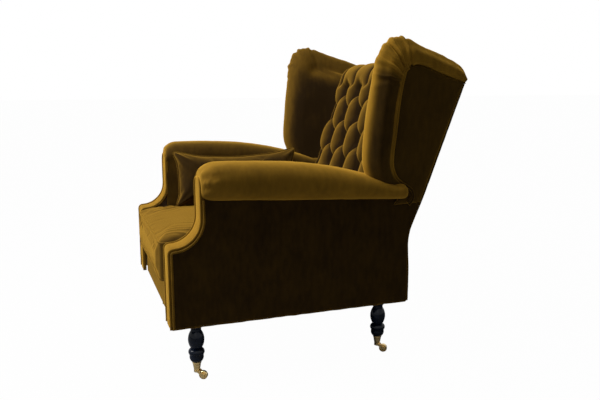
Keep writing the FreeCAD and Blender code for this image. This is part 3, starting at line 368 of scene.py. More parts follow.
def round_rectangle(half_x: float, half_y: float, corner: float, draw_in: float, count: int) -> Array:
    """Closed outline with rounded corners and sides that pull in between them, as X and Y."""
    turns = np.linspace(0, QUARTER, 12)
    points = []
    for number, (sign_x, sign_y) in enumerate(((1, 1), (-1, 1), (-1, -1), (1, -1))):
        turn = turns + number * QUARTER
        x = sign_x * (half_x - corner) + corner * np.cos(turn)
        points.append(np.column_stack([x, sign_y * (half_y - corner) + corner * np.sin(turn)]))
    ring = even_loop(np.concatenate(points), count)
    pull_x = draw_in * (1 - np.clip(np.abs(ring[:, 1]) / half_y, 0, 1) ** 2)
    pull_y = draw_in * (1 - np.clip(np.abs(ring[:, 0]) / half_x, 0, 1) ** 2)
    on_side = np.abs(ring[:, 0]) / half_x > np.abs(ring[:, 1]) / half_y
    ring[:, 0] -= np.where(on_side, np.sign(ring[:, 0]) * pull_x, 0)
    ring[:, 1] -= np.where(on_side, 0, np.sign(ring[:, 1]) * pull_y)
    return ring


def seam_on(piece: bpy.types.Object, path: Array, lift: float) -> Array:
    """Lays a closed path on a piece's skin, lifted a little off it, its last point past its first."""
    tree = BVHTree.FromObject(piece, bpy.context.evaluated_depsgraph_get())
    found = []
    for point in path:
        place, normal, _, _ = tree.find_nearest(Vector(point))
        found.append(np.array(place) + np.array(normal) * lift)
    rows = np.array(found)
    kernel = np.ones(5) / 5
    wrapped = np.concatenate([rows[-2:], rows, rows[:2]])
    soft = np.stack([np.convolve(wrapped[:, axis], kernel, mode="valid") for axis in range(3)], axis=1)
    return np.concatenate([soft, soft[:2]])


# Finishes
def add_node(
    tree: bpy.types.NodeTree, kind: str, values: dict[str, object] | None = None, **settings: object
) -> bpy.types.Node:
    """Adds a shader node.

    Args:
        tree: Tree that it goes into.
        kind: Its type, without the prefix.
        values: Plain values of its input sockets.
        settings: Properties of the node itself, set first.

    Returns:
        The node.
    """
    node = tree.nodes.new(f"ShaderNode{kind}")
    for name, value in settings.items():
        setattr(node, name, value)
    for socket, value in (values or {}).items():
        node.inputs[socket].default_value = value
    return node


def add_math(
    tree: bpy.types.NodeTree, operation: str, *terms: bpy.types.NodeSocket | float, clamp: bool = False
) -> bpy.types.NodeSocket:
    """Adds a sum whose terms are outputs of other nodes or plain numbers, and gives its output."""
    node = add_node(tree, "Math", operation=operation, use_clamp=clamp)
    for socket, term in zip(node.inputs, terms):
        if isinstance(term, bpy.types.NodeSocket):
            tree.links.new(term, socket)
        else:
            socket.default_value = term
    return node.outputs["Value"]


def start_material(
    name: str, values: dict[str, object]
) -> tuple[bpy.types.Material, bpy.types.NodeTree, bpy.types.Node]:
    """New node material with its Principled shader and that shader's plain values."""
    material = bpy.data.materials.new(name)
    material.use_nodes = True
    shader = material.node_tree.nodes["Principled BSDF"]
    for socket, value in values.items():
        shader.inputs[socket].default_value = value
    return material, material.node_tree, shader


def use_group(
    tree: bpy.types.NodeTree, group: bpy.types.NodeTree, values: dict[str, object]
) -> bpy.types.Node:
    """Places a shader node group in a material, fed with the piece's own coordinates."""
    node = add_node(tree, "Group", values, node_tree=group)
    tree.links.new(add_node(tree, "TexCoord").outputs["Object"], node.inputs["Place"])
    return node


def open_group(
    name: str, inputs: dict[str, str], outputs: dict[str, str]
) -> tuple[bpy.types.NodeTree, bpy.types.NodeOutputs, bpy.types.NodeInputs]:
    """New shader node group.

    Args:
        name: Name of the group.
        inputs: Its input sockets, as name and kind.
        outputs: Its output sockets, as name and kind.

    Returns:
        The group, the sockets that bring its inputs and those that take its outputs.
    """
    group = bpy.data.node_groups.new(name, "ShaderNodeTree")
    for sockets, way in ((inputs, "INPUT"), (outputs, "OUTPUT")):
        for word, kind in sockets.items():
            group.interface.new_socket(word, in_out=way, socket_type=f"NodeSocket{kind}")
    return group, group.nodes.new("NodeGroupInput").outputs, group.nodes.new("NodeGroupOutput").inputs


def nap_light_group() -> bpy.types.NodeTree:
    """Nap of velvet: broad patches, streaks along the pile and a fine pile for the bump, and the painted light
    level that mixes the colour from deep to lit, built once.
    """
    name = "velvet_nap"
    if name in bpy.data.node_groups:
        return bpy.data.node_groups[name]
    group, given, result = open_group(
        name,
        {
            "Place": "Vector", "Patches": "Float", "Streaks": "Vector", "Raised": "Float",
            "Deep": "Color", "Lit": "Color",
        },
        {"Colour": "Color", "Roughness": "Float", "Height": "Float"},
    )
    link = group.links.new
    patch = add_node(group, "TexNoise", {"Detail": 3})
    stretch = add_node(group, "VectorMath", operation="MULTIPLY")
    streak = add_node(group, "TexNoise", {"Scale": 1, "Detail": 4})
    mottle = add_node(group, "MapRange", {"From Min": 0.6, "From Max": 1.4, "To Min": -0.20, "To Max": 0.40})
    mix = add_node(group, "Mix", data_type="RGBA")
    rough = add_node(group, "MapRange", {"To Min": 0.9, "To Max": 0.7})
    pile = add_node(group, "TexNoise", {"Scale": 620, "Detail": 2})
    both = add_math(group, "ADD", patch.outputs["Fac"], streak.outputs["Fac"])
    # The painted light level strengthens the mottling and mixes the colour from deep to lit.
    strength = add_math(group, "MULTIPLY_ADD", given["Raised"], 0.7, 0.17)
    lay = add_math(group, "MULTIPLY", mottle.outputs["Result"], strength)
    spread = add_math(group, "ADD", add_math(group, "ADD", lay, 0.03), given["Raised"], clamp=True)
    link(given["Place"], patch.inputs["Vector"])
    link(given["Patches"], patch.inputs["Scale"])
    link(given["Place"], stretch.inputs[0])
    link(given["Streaks"], stretch.inputs[1])
    link(stretch.outputs["Vector"], streak.inputs["Vector"])
    link(both, mottle.inputs["Value"])
    link(spread, mix.inputs["Factor"])
    link(given["Deep"], mix.inputs["A"])
    link(given["Lit"], mix.inputs["B"])
    link(spread, rough.inputs["Value"])
    link(given["Place"], pile.inputs["Vector"])
    link(mix.outputs["Result"], result["Colour"])
    link(rough.outputs["Result"], result["Roughness"])
    link(pile.outputs["Fac"], result["Height"])
    return group


def wear_group() -> bpy.types.NodeTree:
    """Patches of wear: a clean and a worn colour with roughness to match, built once."""
    name = "handling_wear"
    if name in bpy.data.node_groups:
        return bpy.data.node_groups[name]
    group, given, result = open_group(
        name,
        {"Place": "Vector", "Scale": "Float", "Clean": "Color", "Worn": "Color", "Low": "Float", "High": "Float"},
        {"Colour": "Color", "Roughness": "Float"},
    )
    link = group.links.new
    patch = add_node(group, "TexNoise", {"Detail": 5})
    spread = add_node(group, "MapRange", {"From Min": 0.38, "From Max": 0.68})
    mix = add_node(group, "Mix", data_type="RGBA")
    rough = add_node(group, "MapRange")
    link(given["Place"], patch.inputs["Vector"])
    link(given["Scale"], patch.inputs["Scale"])
    link(patch.outputs["Fac"], spread.inputs["Value"])
    link(spread.outputs["Result"], mix.inputs["Factor"])
    link(given["Clean"], mix.inputs["A"])
    link(given["Worn"], mix.inputs["B"])
    link(spread.outputs["Result"], rough.inputs["Value"])
    link(given["Low"], rough.inputs["To Min"])
    link(given["High"], rough.inputs["To Max"])
    link(mix.outputs["Result"], result["Colour"])
    link(rough.outputs["Result"], result["Roughness"])
    return group


@dataclass(frozen=True)
class Velvet:
    """Cut-pile velvet: dark looked at square on, with a painted sheen that turns its base colour golden toward
    grazing view.
    """

    name: str
    deep: Colour
    lit: Colour
    painted_sheen: Colour
    sheen_tint: Colour
    sheen: float = 0.45
    sheen_spread: float = 0.38
    painted_sheen_power: float = 2.2
    painted_sheen_gain: float = 2.5
    painted_sheen_least: float = 0.45
    patches: float = 13.0
    streaks: tuple[float, float, float] = (70.0, 70.0, 26.0)
    pile_height: float = 0.0012

    def build(self) -> bpy.types.Material:
        """Makes the material: patches and streaks of the pile and the painted light level in the colour, a painted
        sheen toward grazing view, pile in the bump.
        """
        material, tree, shader = start_material(self.name, {
            "Specular IOR Level": 0.02, "Sheen Weight": self.sheen, "Sheen Roughness": self.sheen_spread,
            "Sheen Tint": (*self.sheen_tint, 1),
        })
        link = tree.links.new
        nap = use_group(tree, nap_light_group(), {
            "Patches": self.patches, "Streaks": self.streaks, "Deep": (*self.deep, 1), "Lit": (*self.lit, 1),
        })
        pile_and_painted_light = add_node(tree, "Attribute", attribute_name=NAP_LIGHT_ATTRIBUTE).outputs["Fac"]
        # Painted sheen: Layer Weight's facing mixes the base colour toward the golden painted sheen colour at
        # grazing view, more where the painted light level is high.
        edge = add_node(tree, "LayerWeight", {"Blend": 0.5}).outputs["Facing"]
        rake = add_node(tree, "Mix", {"B": (*self.painted_sheen, 1)}, data_type="RGBA")
        bump = add_node(tree, "Bump", {"Strength": 0.35, "Distance": self.pile_height})
        rise = add_math(tree, "POWER", edge, self.painted_sheen_power)
        upright = add_math(tree, "MULTIPLY_ADD", pile_and_painted_light, self.painted_sheen_gain, self.painted_sheen_least, clamp=True)
        link(pile_and_painted_light, nap.inputs["Raised"])
        link(add_math(tree, "MULTIPLY", rise, upright), rake.inputs["Factor"])
        link(nap.outputs["Colour"], rake.inputs["A"])
        link(rake.outputs["Result"], shader.inputs["Base Color"])
        link(nap.outputs["Roughness"], shader.inputs["Roughness"])
        link(nap.outputs["Height"], bump.inputs["Height"])
        link(bump.outputs["Normal"], shader.inputs["Normal"])
        return material


@dataclass(frozen=True)
class Worn:
    """Polish, metal, timber or plain cloth: two tones in patches, with the shader's own values beside them."""

    name: str
    clean: Colour
    worn: Colour
    scale: float
    low: float
    high: float
    shine: tuple[tuple[str, float], ...] = ()

    def build(self) -> bpy.types.Material:
        """Makes the material."""
        material, tree, shader = start_material(self.name, dict(self.shine))
        wear = use_group(tree, wear_group(), {
            "Clean": (*self.clean, 1), "Worn": (*self.worn, 1), "Scale": self.scale, "Low": self.low,
            "High": self.high,
        })
        tree.links.new(wear.outputs["Colour"], shader.inputs["Base Color"])
        tree.links.new(wear.outputs["Roughness"], shader.inputs["Roughness"])
        return material


FINISHES = {
    # The velvet's third colour is its painted sheen colour, mixed into the base colour at grazing view.
    VELVET: Velvet(
        "ochre_velvet", (0.020, 0.011, 0.004), (0.265, 0.138, 0.014), (0.42, 0.225, 0.026), (1.0, 0.56, 0.07)
    ),
    "ebonised_wood": Worn(
        "ebonised_polish", (0.0006, 0.0034, 0.0110), (0.0016, 0.0055, 0.0160), 38, 0.16, 0.30,
        (("Specular IOR Level", 0.12), ("Coat Weight", 0.09), ("Coat Roughness", 0.08)),
    ),
    "brass": Worn("polished_brass", (0.80, 0.62, 0.30), (0.52, 0.37, 0.16), 90, 0.14, 0.42, (("Metallic", 1.0),)),
    "lining": Worn("black_lining", (0.015, 0.014, 0.013), (0.03, 0.028, 0.026), 300, 0.75, 0.90),
    "frame_timber": Worn("planed_timber", (0.45, 0.30, 0.16), (0.30, 0.18, 0.09), 14, 0.55, 0.70),
    "webbing": Worn("jute_webbing", (0.36, 0.27, 0.15), (0.22, 0.16, 0.09), 180, 0.75, 0.90),
}
"""Every finish of the chair by the record's slot."""


@dataclass
class Outline:
    """Main planes of the chair, read from the frame. Y is counted from the front of the arms."""

    half_width: float = field(init=False)
    arm_inner: float = field(init=False)
    front: float = field(init=False)
    low: float = field(init=False)
    deck: float = field(init=False)
    depth: float = 0.762
    knee: float = 0.401
    knee_round: float = 0.022
    knee_sink: float = 0.011
    knee_reach: float = 0.030
    rake: float = math.radians(21)
    splay: float = math.radians(10.2)

    def __post_init__(self) -> None:
        """Reads the facing and the deck."""
        lowest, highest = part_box("arm_facing_left")
        self.arm_inner, self.front, self.low = lowest[0], lowest[1], lowest[2]
        self.half_width = highest[0]
        self.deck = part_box("seat_deck")[1][2]

    def rear(self, height: Array | float) -> Array | float:
        """Y of the leaning rear at a height."""
        return self.depth + (height - self.knee) * math.tan(self.rake)

    def behind(self, height: Array) -> Array:
        """Y of the whole rear, with its soft bend at the knee."""
        above = self.rear(height) - self.depth
        bent = 0.5 * (above + np.sqrt(above**2 + self.knee_round**2))
        return self.depth + bent - self.knee_sink * bell(above, 0, self.knee_reach)

    def wing(self, y: Array | float, z: Array | float) -> Array | float:
        """X of the outside of the splayed wing."""
        return self.half_width + (self.rear(z) - y) * math.tan(self.splay)

    def place(self, points: Array, side: Side = Side.LEFT) -> Array:
        """Moves points from the chair's own count of Y into the frame, mirrored for the right."""
        moved = np.array(points, dtype=float)
        moved[..., 0] *= side.value
        moved[..., 1] += self.front
        return moved


@dataclass
class Upholstery:
    """What every covered sub-assembly needs: the chair's outline and its velvet."""

    outline: Outline
    velvet: bpy.types.Material

    def cover(
        self,
        piece: bpy.types.Object,
        nodes: Sequence[str] = (),
        fill: float | None = None,
        raised: Array | float = BASE_NAP_LIGHT,
        body: str = CHAIR,
    ) -> None:
        """Gives a piece its velvet, its body and the nodes it stands for.

        Args:
            piece: The mesh object.
            nodes: Nodes of the frame that it replaces.
            fill: How full it is stuffed, where it is padded; not used.
            raised: Painted light and shade level, partly also the lay of the pile, from nought to one, one number
                or one for each point.
            body: Body of the frame that it rides on.
        """
        # Stores the painted light and shade level on the points.
        lay = piece.data.attributes.new(NAP_LIGHT_ATTRIBUTE, "FLOAT", "POINT")
        nap_light_values = np.broadcast_to(np.asarray(raised, dtype=float).ravel(), (len(piece.data.vertices),))
        lay.data.foreach_set("value", nap_light_values.copy())
        piece.data.materials.append(self.velvet)
        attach(piece, body)
        if nodes:
            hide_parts(*nodes)
        LOG.info("%s: %d faces", piece.name, len(piece.data.polygons))


@dataclass
class ArmFacing(Upholstery):
    """Scooped front of an arm: a narrow padded panel with piping all round and a double welt outside."""

    setback: float = 0.096
    foot: float = 0.415
    corner: float = 0.012
    top: float = 0.614
    top_round: float = 0.030
    thick: float = 0.008
    dome: float = 0.004
    sunk: float = 0.001
    cord: float = 0.0034
    cord_inset: tuple[float, float] = (0.003, 0.002)
    welt_top: float = 0.552
    welt_out: float = 0.0012

    def front_line(self, offset: float = 0.0, top: float | None = None) -> Array:
        """Y and Z down the front of the arm, from the foot of the body up to its top.

        Args:
            offset: Distance behind the face.
            top: Height where the line ends, the facing's own top if none is given.

        Returns:
            Points as rows of Y and Z.
        """
        scoop = self.setback - self.corner
        inner, outer = self.corner - offset, scoop + offset
        turn, angles = np.linspace(0, QUARTER, 8), np.linspace(0, QUARTER, 14)
        low = np.array([[offset, self.outline.low]])
        foot = np.column_stack([
            self.corner - inner * np.cos(turn), self.foot - self.corner + inner * np.sin(turn)
        ])
        bend = np.column_stack([self.corner + outer * np.sin(angles), self.foot + scoop - outer * np.cos(angles)])
        high = np.array([[self.setback + offset, self.top if top is None else top]])
        return np.concatenate([low, foot, bend, high])

    def panel(self, side: Side) -> None:
        """Padded panel between the two edges, rounded at its top."""
        line = even(self.front_line(), 120)
        run = heading(line)
        forward = np.stack([-run[:, 1], run[:, 0]], axis=1)
        width = self.outline.half_width - self.outline.arm_inner
        below = np.clip(self.top - line[:, 1], 0, self.top_round)
        pull = self.top_round - np.sqrt(np.maximum(self.top_round**2 - (self.top_round - below) ** 2, 0))
        across = np.linspace(0, 1, 25)
        lift = self.dome * (1 - np.abs(2 * across - 1) ** 3) - self.sunk
        rings = []
        for point, ahead, inset in zip(line, forward, pull):
            x = self.outline.arm_inner + inset + (width - 2 * inset) * across
            front = np.stack([x, point[0] + ahead[0] * lift, point[1] + ahead[1] * lift], axis=1)
            back = front[::-1].copy()
            back[:, 1:] = point - ahead * self.thick
            rings.append(np.concatenate([front, back]))
        piece = ring_tube(f"facing_panel_{side.word}", self.outline.place(np.array(rings), side))
        # Painted light: the facing panel is set lighter than the plain velvet.
        self.cover(piece, [f"arm_facing_{side.word}"], fill=0.9, raised=0.3)

    def piping(self, side: Side) -> None:
        """Cord along both edges and over the top, and a second cord on the outside."""
        line = even(self.front_line(-self.sunk), 160)
        inner_x = self.outline.arm_inner + self.cord_inset[0]
        outer_x = self.outline.half_width - self.cord_inset[1]
        radius = self.top_round
        stem = line[line[:, 1] < self.top - radius]
        outer = np.column_stack([np.full(len(stem), outer_x), stem])
        inner = np.column_stack([np.full(len(stem), inner_x), stem])[::-1]
        angles = np.linspace(0, QUARTER, 10)
        right = np.column_stack([
            outer_x - radius + radius * np.cos(angles), np.full(10, stem[-1][0]),
            self.top - radius + radius * np.sin(angles),
        ])
        left = right[::-1].copy()
        left[:, 0] = inner_x + outer_x - left[:, 0]
        path = np.concatenate([outer, right, left, inner])
        # Painted light: the facing piping is set lighter than the plain velvet.
        self.cover(welt(f"facing_piping_{side.word}", self.outline.place(path, side), self.cord, 1.7), raised=0.45)
        line = even(self.front_line(self.thick * 0.9, self.welt_top), 160)
        path = np.column_stack([np.full(len(line), self.outline.half_width + self.welt_out), line])
        # Painted light: the outside welt is set lighter than the plain velvet.
        self.cover(welt(f"arm_welt_{side.word}", self.outline.place(path, side), self.cord, 2.3), raised=0.35)

    def build(self) -> None:
        """Both facings."""
        for side in Side:
            self.panel(side)
            self.piping(side)


@dataclass
class ArmPad(Upholstery):
    """Rolled arm: padding up the inside, over the rail and down to a tuck above the outside panel."""

    front: float = 0.097
    rear: float = 0.740
    crown: float = 0.658
    crown_rear: float = 0.579
    fall_start: float = 0.150
    fall_end: float = 0.690
    fall_power: float = 2.5
    nose: float = 0.050
    nose_drop: float = 0.034
    nose_lift: float = 0.004
    tail: float = 0.030
    tail_drop: float = 0.018
    reach_front: float = 0.034
    reach_rear: float = 0.054
    under_front: float = 0.548
    under_rear: float = 0.519
    widest: float = 0.47
    tuck: float = 0.012
    square: tuple[float, float] = (0.86, 0.88)
    wall_bulge: float = 0.004
    below_deck: float = 0.010
    gather: float = 0.0052
    creases: Sequence[tuple[float, float, float]] = (
        (0.612, 0.60, 0.0036), (0.603, 0.35, 0.0040), (0.590, 0.18, 0.0034),
    )
    rows: int = 190
    columns: int = 100

    def section(self, y: float) -> Array:
        """One closed section across the arm at y, as X and Z.

        Args:
            y: Distance from the front of the arms.

        Returns:
            Points round the section.
        """
        outline = self.outline
        share = (y - self.front) / (self.rear - self.front)
        full = rounding((y - self.front) / self.nose)
        tail = rounding((self.rear - y) / self.tail)
        fall = clipped((y - self.fall_start) / (self.fall_end - self.fall_start))
        top = self.crown - (self.crown - self.crown_rear) * fall**self.fall_power
        top -= self.nose_drop * (1 - full) + self.tail_drop * (1 - tail)
        reach = self.reach_front + (self.reach_rear - self.reach_front) * share
        reach *= (0.12 + 0.88 * full) * (0.5 + 0.5 * tail)
        under = self.under_front + (self.under_rear - self.under_front) * share + self.nose_lift * (1 - full)
        inner, out = outline.arm_inner, outline.half_width + reach
        middle, half = (inner + out) / 2, (out - inner) / 2
        level = top - self.widest * (top - under)
        turn = np.linspace(math.pi, -math.pi * 0.47, 60)
        cosine, sine = np.cos(turn), np.sin(turn)
        x = middle + half * np.sign(cosine) * np.abs(cosine) ** self.square[0]
        height = np.where(sine > 0, top - level, level - under)
        z = level + height * np.sign(sine) * np.abs(sine) ** self.square[1]
        foot = outline.deck - self.below_deck
        wall_z = np.linspace(foot, level, 24, endpoint=False)
        bulge = self.wall_bulge * np.sin(np.linspace(0, math.pi, 24))
        wall = np.stack([inner - bulge + 0.001, wall_z], axis=1)
        tuck_x = outline.half_width - self.tuck
        hidden = np.array([
            [outline.half_width - 0.004, under + 0.001], [tuck_x, under + 0.004], [tuck_x - 0.02, under + 0.006],
            [inner + 0.03, under - 0.02],
        ])
        down = np.stack([np.full(6, inner + 0.02), np.linspace(under - 0.06, foot, 6)], axis=1)
        return even_loop(np.concatenate([wall, np.stack([x, z], axis=1), hidden, down]), self.columns)

    def stations(self) -> Array:
        """Places of the sections along the arm, closer together in its rounded front and rear."""
        front = self.front + self.nose * (1 - np.cos(np.linspace(0, QUARTER, 26)))
        rear = self.rear - self.tail * (1 - np.cos(np.linspace(0, QUARTER, 14)[::-1]))
        middle = np.linspace(front[-1], rear[0], self.rows)[1:-1]
        return np.concatenate([front, middle, rear])

    def folds(self, grid: Array, seed: float) -> Array:
        """How far the cloth stands off the plain roll: gathers at the front, soft lumps elsewhere.

        Args:
            grid: Points of the plain roll.
            seed: Shift of the noise.

        Returns:
            Height at each point.
        """
        x, y, z = grid[..., 0], grid[..., 1], grid[..., 2]
        flank = self.outline.half_width
        from_front = y - self.front
        around = np.arctan2(z - 0.595, x - flank + 0.03)
        wander = grain(grid, 0.035, seed) * 0.35
        gathers = np.sin(around * 9 + wander * 3) * np.exp(-from_front / 0.035) * ease(from_front, 0, 0.006)
        height = self.gather * gathers * ease(x, flank - 0.03, flank + 0.01) * bell(around, 0.3, 0.9)
        for level, slope, strength in self.creases:
            line = z - level - slope * from_front * np.exp(-from_front / 0.05)
            crease = bell(line, 0, 0.0042) * bell(from_front, 0.025, 0.040)
            height -= strength * crease * ease(x, flank, flank + 0.02)
        height += 0.0016 * grain(grid, (0.07, 0.13, 0.07), seed + 3)
        return height + 0.0006 * grain(grid, (0.02, 0.035, 0.02), seed + 5)

    def build(self) -> None:
        """Both arms."""
        places = self.stations()
        sections = [self.section(y) for y in places]
        plain = np.array([
            np.column_stack([ring[:, 0], np.full(len(ring), y), ring[:, 1]]) for y, ring in zip(places, sections)
        ])
        normal = outward(plain, len(places) // 2, self.columns // 2, 2)
        for side in Side:
            grid = plain + normal * self.folds(plain, 4.0 + side.value)[..., None]
            piece = ring_tube(f"arm_roll_{side.word}", self.outline.place(grid, side))
            # Painted light: the outside of the roll is set lighter than its inside, a little more toward the rear.
            out = ease(grid[..., 0], self.outline.arm_inner + 0.02, self.outline.half_width + 0.01)
            along = 0.72 + 0.28 * ease(grid[..., 1], 0.3, 0.6)
            self.cover(piece, [f"arm_pad_{side.word}"], fill=0.8, raised=BASE_NAP_LIGHT + 0.6 * out * along)


@dataclass
class WingPad(Upholstery):
    """Wing: padded inside face with a roll down its front and over its top, gathered at the corner.

    The edge, the seam and the heels have one entry for each control section, from the arm up and over the top:
    where the roll is farthest out, where its outside ends, and how high its inside meets the back.
    """

    edge: Profile = (
        (0.622, 0.574), (0.602, 0.612), (0.592, 0.655), (0.595, 0.735), (0.604, 0.815), (0.613, 0.890),
        (0.618, 0.930), (0.627, 0.962), (0.643, 0.993), (0.664, 1.010), (0.690, 1.017), (0.720, 1.012),
        (0.760, 0.998), (0.810, 0.981), (0.860, 0.965), (0.905, 0.949), (0.942, 0.929), (0.960, 0.901),
    )
    seam: Profile = (
        (0.735, 0.560), (0.700, 0.586), (0.676, 0.640), (0.682, 0.735), (0.688, 0.815), (0.696, 0.875),
        (0.701, 0.895), (0.704, 0.906), (0.706, 0.914), (0.710, 0.921), (0.718, 0.927), (0.735, 0.932),
        (0.762, 0.935), (0.805, 0.924), (0.850, 0.909), (0.890, 0.898), (0.925, 0.888), (0.948, 0.882),
    )
    heel: Sequence[float] = (
        0.560, 0.600, 0.650, 0.700, 0.750, 0.800, 0.815, 0.823, 0.831, 0.838, 0.845, 0.851, 0.857, 0.863,
        0.869, 0.875, 0.880, 0.885,
    )
    welt_foot: Profile = ((0.745, 0.508), (0.757, 0.519), (0.760, 0.536), (0.750, 0.552))
    panel_foot: Profile = ((0.700, 0.505), (0.716, 0.530), (0.712, 0.566))
    panel_heights: tuple[float, float] = (0.505, 0.884)
    upright: tuple[int, int] = (1, 11)
    thick: float = 0.082
    thinner: float = 0.40
    proud: float = 0.009
    cord: float = 0.0044
    cord_step: float = 0.0042
    cord_out: float = 0.0050
    rear_gap: float = 0.041
    corner: tuple[float, float] = (5.6, 11.8)
    gather: float = 0.0028
    creases: Sequence[tuple[float, float, float]] = (
        (5.35, 0.09, 0.0030), (5.12, 0.12, -0.0030), (4.80, 0.10, 0.0012),
    )
    rows: int = 260
    columns: int = 120

    def section(self, number: int) -> Array:
        """Control points of one section, from the outside seam round the roll to the rear and back.

        Args:
            number: Which of the sections.

        Returns:
            The points as rows.
        """
        outline = self.outline
        nose, seam = np.array(self.edge[number]), np.array(self.seam[number])
        heel = np.array([outline.rear(self.heel[number]) - self.rear_gap, self.heel[number]])
        thick = self.thick * (1 - self.thinner * clipped((number - 4) / 7))
        steps = [
            (1.03, -0.006), (1.0, -0.001), (0.93, self.proud * 0.75), (0.72, self.proud * 1.1), (0.46, self.proud),
            (0.22, -0.07 * thick), (0.06, -0.24 * thick), (0.0, -0.46 * thick), (0.08, -0.70 * thick),
            (0.30, -0.90 * thick), (0.65, -0.99 * thick), (1.0, -thick),
        ]
        points = []
        for along, off in steps:
            y, z = nose + (seam - nose) * along
            points.append(np.array([outline.wing(y, z) + off, y, z]))
        first, last = points[0] + np.array([-0.008, 0, 0]), points[-1]
        inside = np.array([outline.arm_inner - 0.002, heel[0], heel[1]])
        for part in (0.25, 0.5, 0.75, 1.0):
            bulge = np.array([0.004 * math.sin(math.pi * part), 0, 0])
            points.append(last + (inside - last) * part + bulge)
        back = np.array([outline.wing(*heel) - 0.014, heel[0] + 0.002, heel[1]])
        points += [back + (first - back) * part for part in (0.0, 0.35, 0.7, 1.0)]
        return np.array(points)

    def surface(self) -> tuple[Array, Array]:
        """Rings of the pad, and the place of each ring counted in control sections."""
        net = np.array([self.section(number) for number in range(len(self.edge))])
        rings = []
        for ring in smooth(net, self.rows):
            fine = smooth(np.concatenate([ring, ring[:1]]), 400)
            rings.append(even(fine, self.columns + 1)[:-1])
        return np.array(rings), np.linspace(0, len(self.edge) - 1, self.rows)[:, None]

    def folds(self, grid: Array, places: Array, seed: float) -> Array:
        """Gathers fanning from the seam's top corner, one crease below it, and soft lumps.

        Args:
            grid: Points of the plain pad.
            places: Place of each ring, counted in sections.
            seed: Shift of the noise.

        Returns:
            Height at each point.
        """
        start, end = self.corner
        place = places + 0.35 * grain(grid, 0.045, seed)
        out = grid[..., 0] - self.outline.wing(grid[..., 1], grid[..., 2])
        outside = ease(out, -self.thick * 0.75, -self.thick * 0.1)
        ridges = np.sin(place * 2 * math.pi / 1.25) + 0.7 * np.sin(place * 2 * math.pi / 0.8 + 1)
        fan = ridges * ease(place, start, start + 1) * (1 - ease(place, end - 1.5, end + 0.5))
        height = self.gather * fan * outside
        for level, wide, deep in self.creases:
            height += deep * bell(place, level, wide) * ease(out, -0.05, 0.0)
        height += 0.0022 * grain(grid, (0.05, 0.06, 0.09), seed + 2)
        return height + 0.0020 * grain(grid, (0.022, 0.022, 0.04), seed + 4) * ease(place, 10, 12) * outside

    def pile_and_painted_light(self, grid: Array, places: Array, side: Side) -> Array:
        """Painted light and shade: lighter on the roll's front, darker beside the welt, on the inside and over the
        top, the far wing less lit than the near one.

        Args:
            grid: Points of the pad.
            places: Place of each ring, counted in sections.
            side: Which wing.

        Returns:
            The painted light level at each point.
        """
        out = grid[..., 0] - self.outline.wing(grid[..., 1], grid[..., 2])
        flank = ease(out, -0.032, -0.004) * (1 - ease(places, 5.2, 7.0))
        # Painted light: the near (left) wing's roll front gets the full lift, the far (right) wing less than a
        # third of it.
        near_wing_light = 1.0 if side is Side.LEFT else 0.30
        raised = -0.05 + near_wing_light * ease(out, -0.080, -0.060) * (1 - 0.92 * flank)
        return raised - 0.18 * ease(places, 5.5, 8.0) * ease(out, -0.05, 0.0)

    def welts(self, side: Side) -> None:
        """Two cords side by side from behind the arm up the seam and round its top corner."""
        line = even(smooth(np.array(self.welt_foot + self.seam[slice(*self.upright)]), 240), 240)
        run = heading(line)
        behind = np.stack([run[:, 1], -run[:, 0]], axis=1)
        for number, step in enumerate((-self.cord_step, self.cord_step)):
            path = line + behind * step
            x = self.outline.wing(path[:, 0], path[:, 1]) + self.cord_out
            x += 0.010 * (1 - ease(path[:, 1], 0.51, 0.57))
            points = self.outline.place(np.column_stack([x, path]), side)
            cord = welt(f"wing_welt_{number}_{side.word}", points, self.cord, 3.1 + number)
            # Painted light and shade: the cords are lighter from the top of the arm upward and dark below it,
            # where they pass into shadow.
            self.cover(cord, raised=0.66 * ease(read_points(cord)[:, 2], 0.565, 0.62))

    def panel(self, side: Side) -> None:
        """Outside of the wing: cloth over a thin padding, from the seam to the rear edge."""
        rows, columns = 160, 40
        over = tuple((y + 0.003, z - 0.005) for y, z in self.seam[self.upright[1]:])
        front = even(smooth(np.array(self.panel_foot + self.seam[slice(*self.upright)] + over), 300), rows)
        heights = np.linspace(*self.panel_heights, rows)
        rear = np.column_stack([self.outline.rear(heights) - 0.002, heights])
        share = np.linspace(0, 1, columns)
        flat = front[:, None] * (1 - share[:, None]) + rear[:, None] * share[:, None]
        edge = np.minimum(np.minimum(share, 1 - share) * 6, 1)
        ends = np.minimum(np.arange(rows) / 8, 1)[:, None]
        lift = 0.0015 + 0.0040 * np.sqrt(np.clip(edge * ends, 0, 1))
        x = self.outline.wing(flat[..., 0], flat[..., 1])
        outer = np.concatenate([(x + lift)[..., None], flat], axis=2)
        outer[..., 0] += 0.0012 * grain(outer, (0.1, 0.12, 0.12), 61.0 + side.value)
        inner = outer.copy()
        inner[..., 0] = x - 0.004
        piece = ring_tube(f"wing_panel_{side.word}", self.outline.place(two_faced(outer, inner), side))
        # Painted shade: the outside panel is set a little darker than the plain velvet.
        self.cover(piece, [f"outside_wing_{side.word}"], fill=0.5, raised=0.06)

    def build(self) -> None:
        """Both wings, the double welt along their outside seam and their outside panels."""
        plain, places = self.surface()
        normal = outward(plain, self.rows // 4, self.columns // 8, 0)
        for side in Side:
            grid = plain + normal * self.folds(plain, places, 9.0 + side.value)[..., None]
            piece = ring_tube(f"wing_roll_{side.word}", self.outline.place(grid, side))
            self.cover(piece, [f"wing_pad_{side.word}"], fill=0.8, raised=self.pile_and_painted_light(grid, places, side))
            self.welts(side)
            self.panel(side)


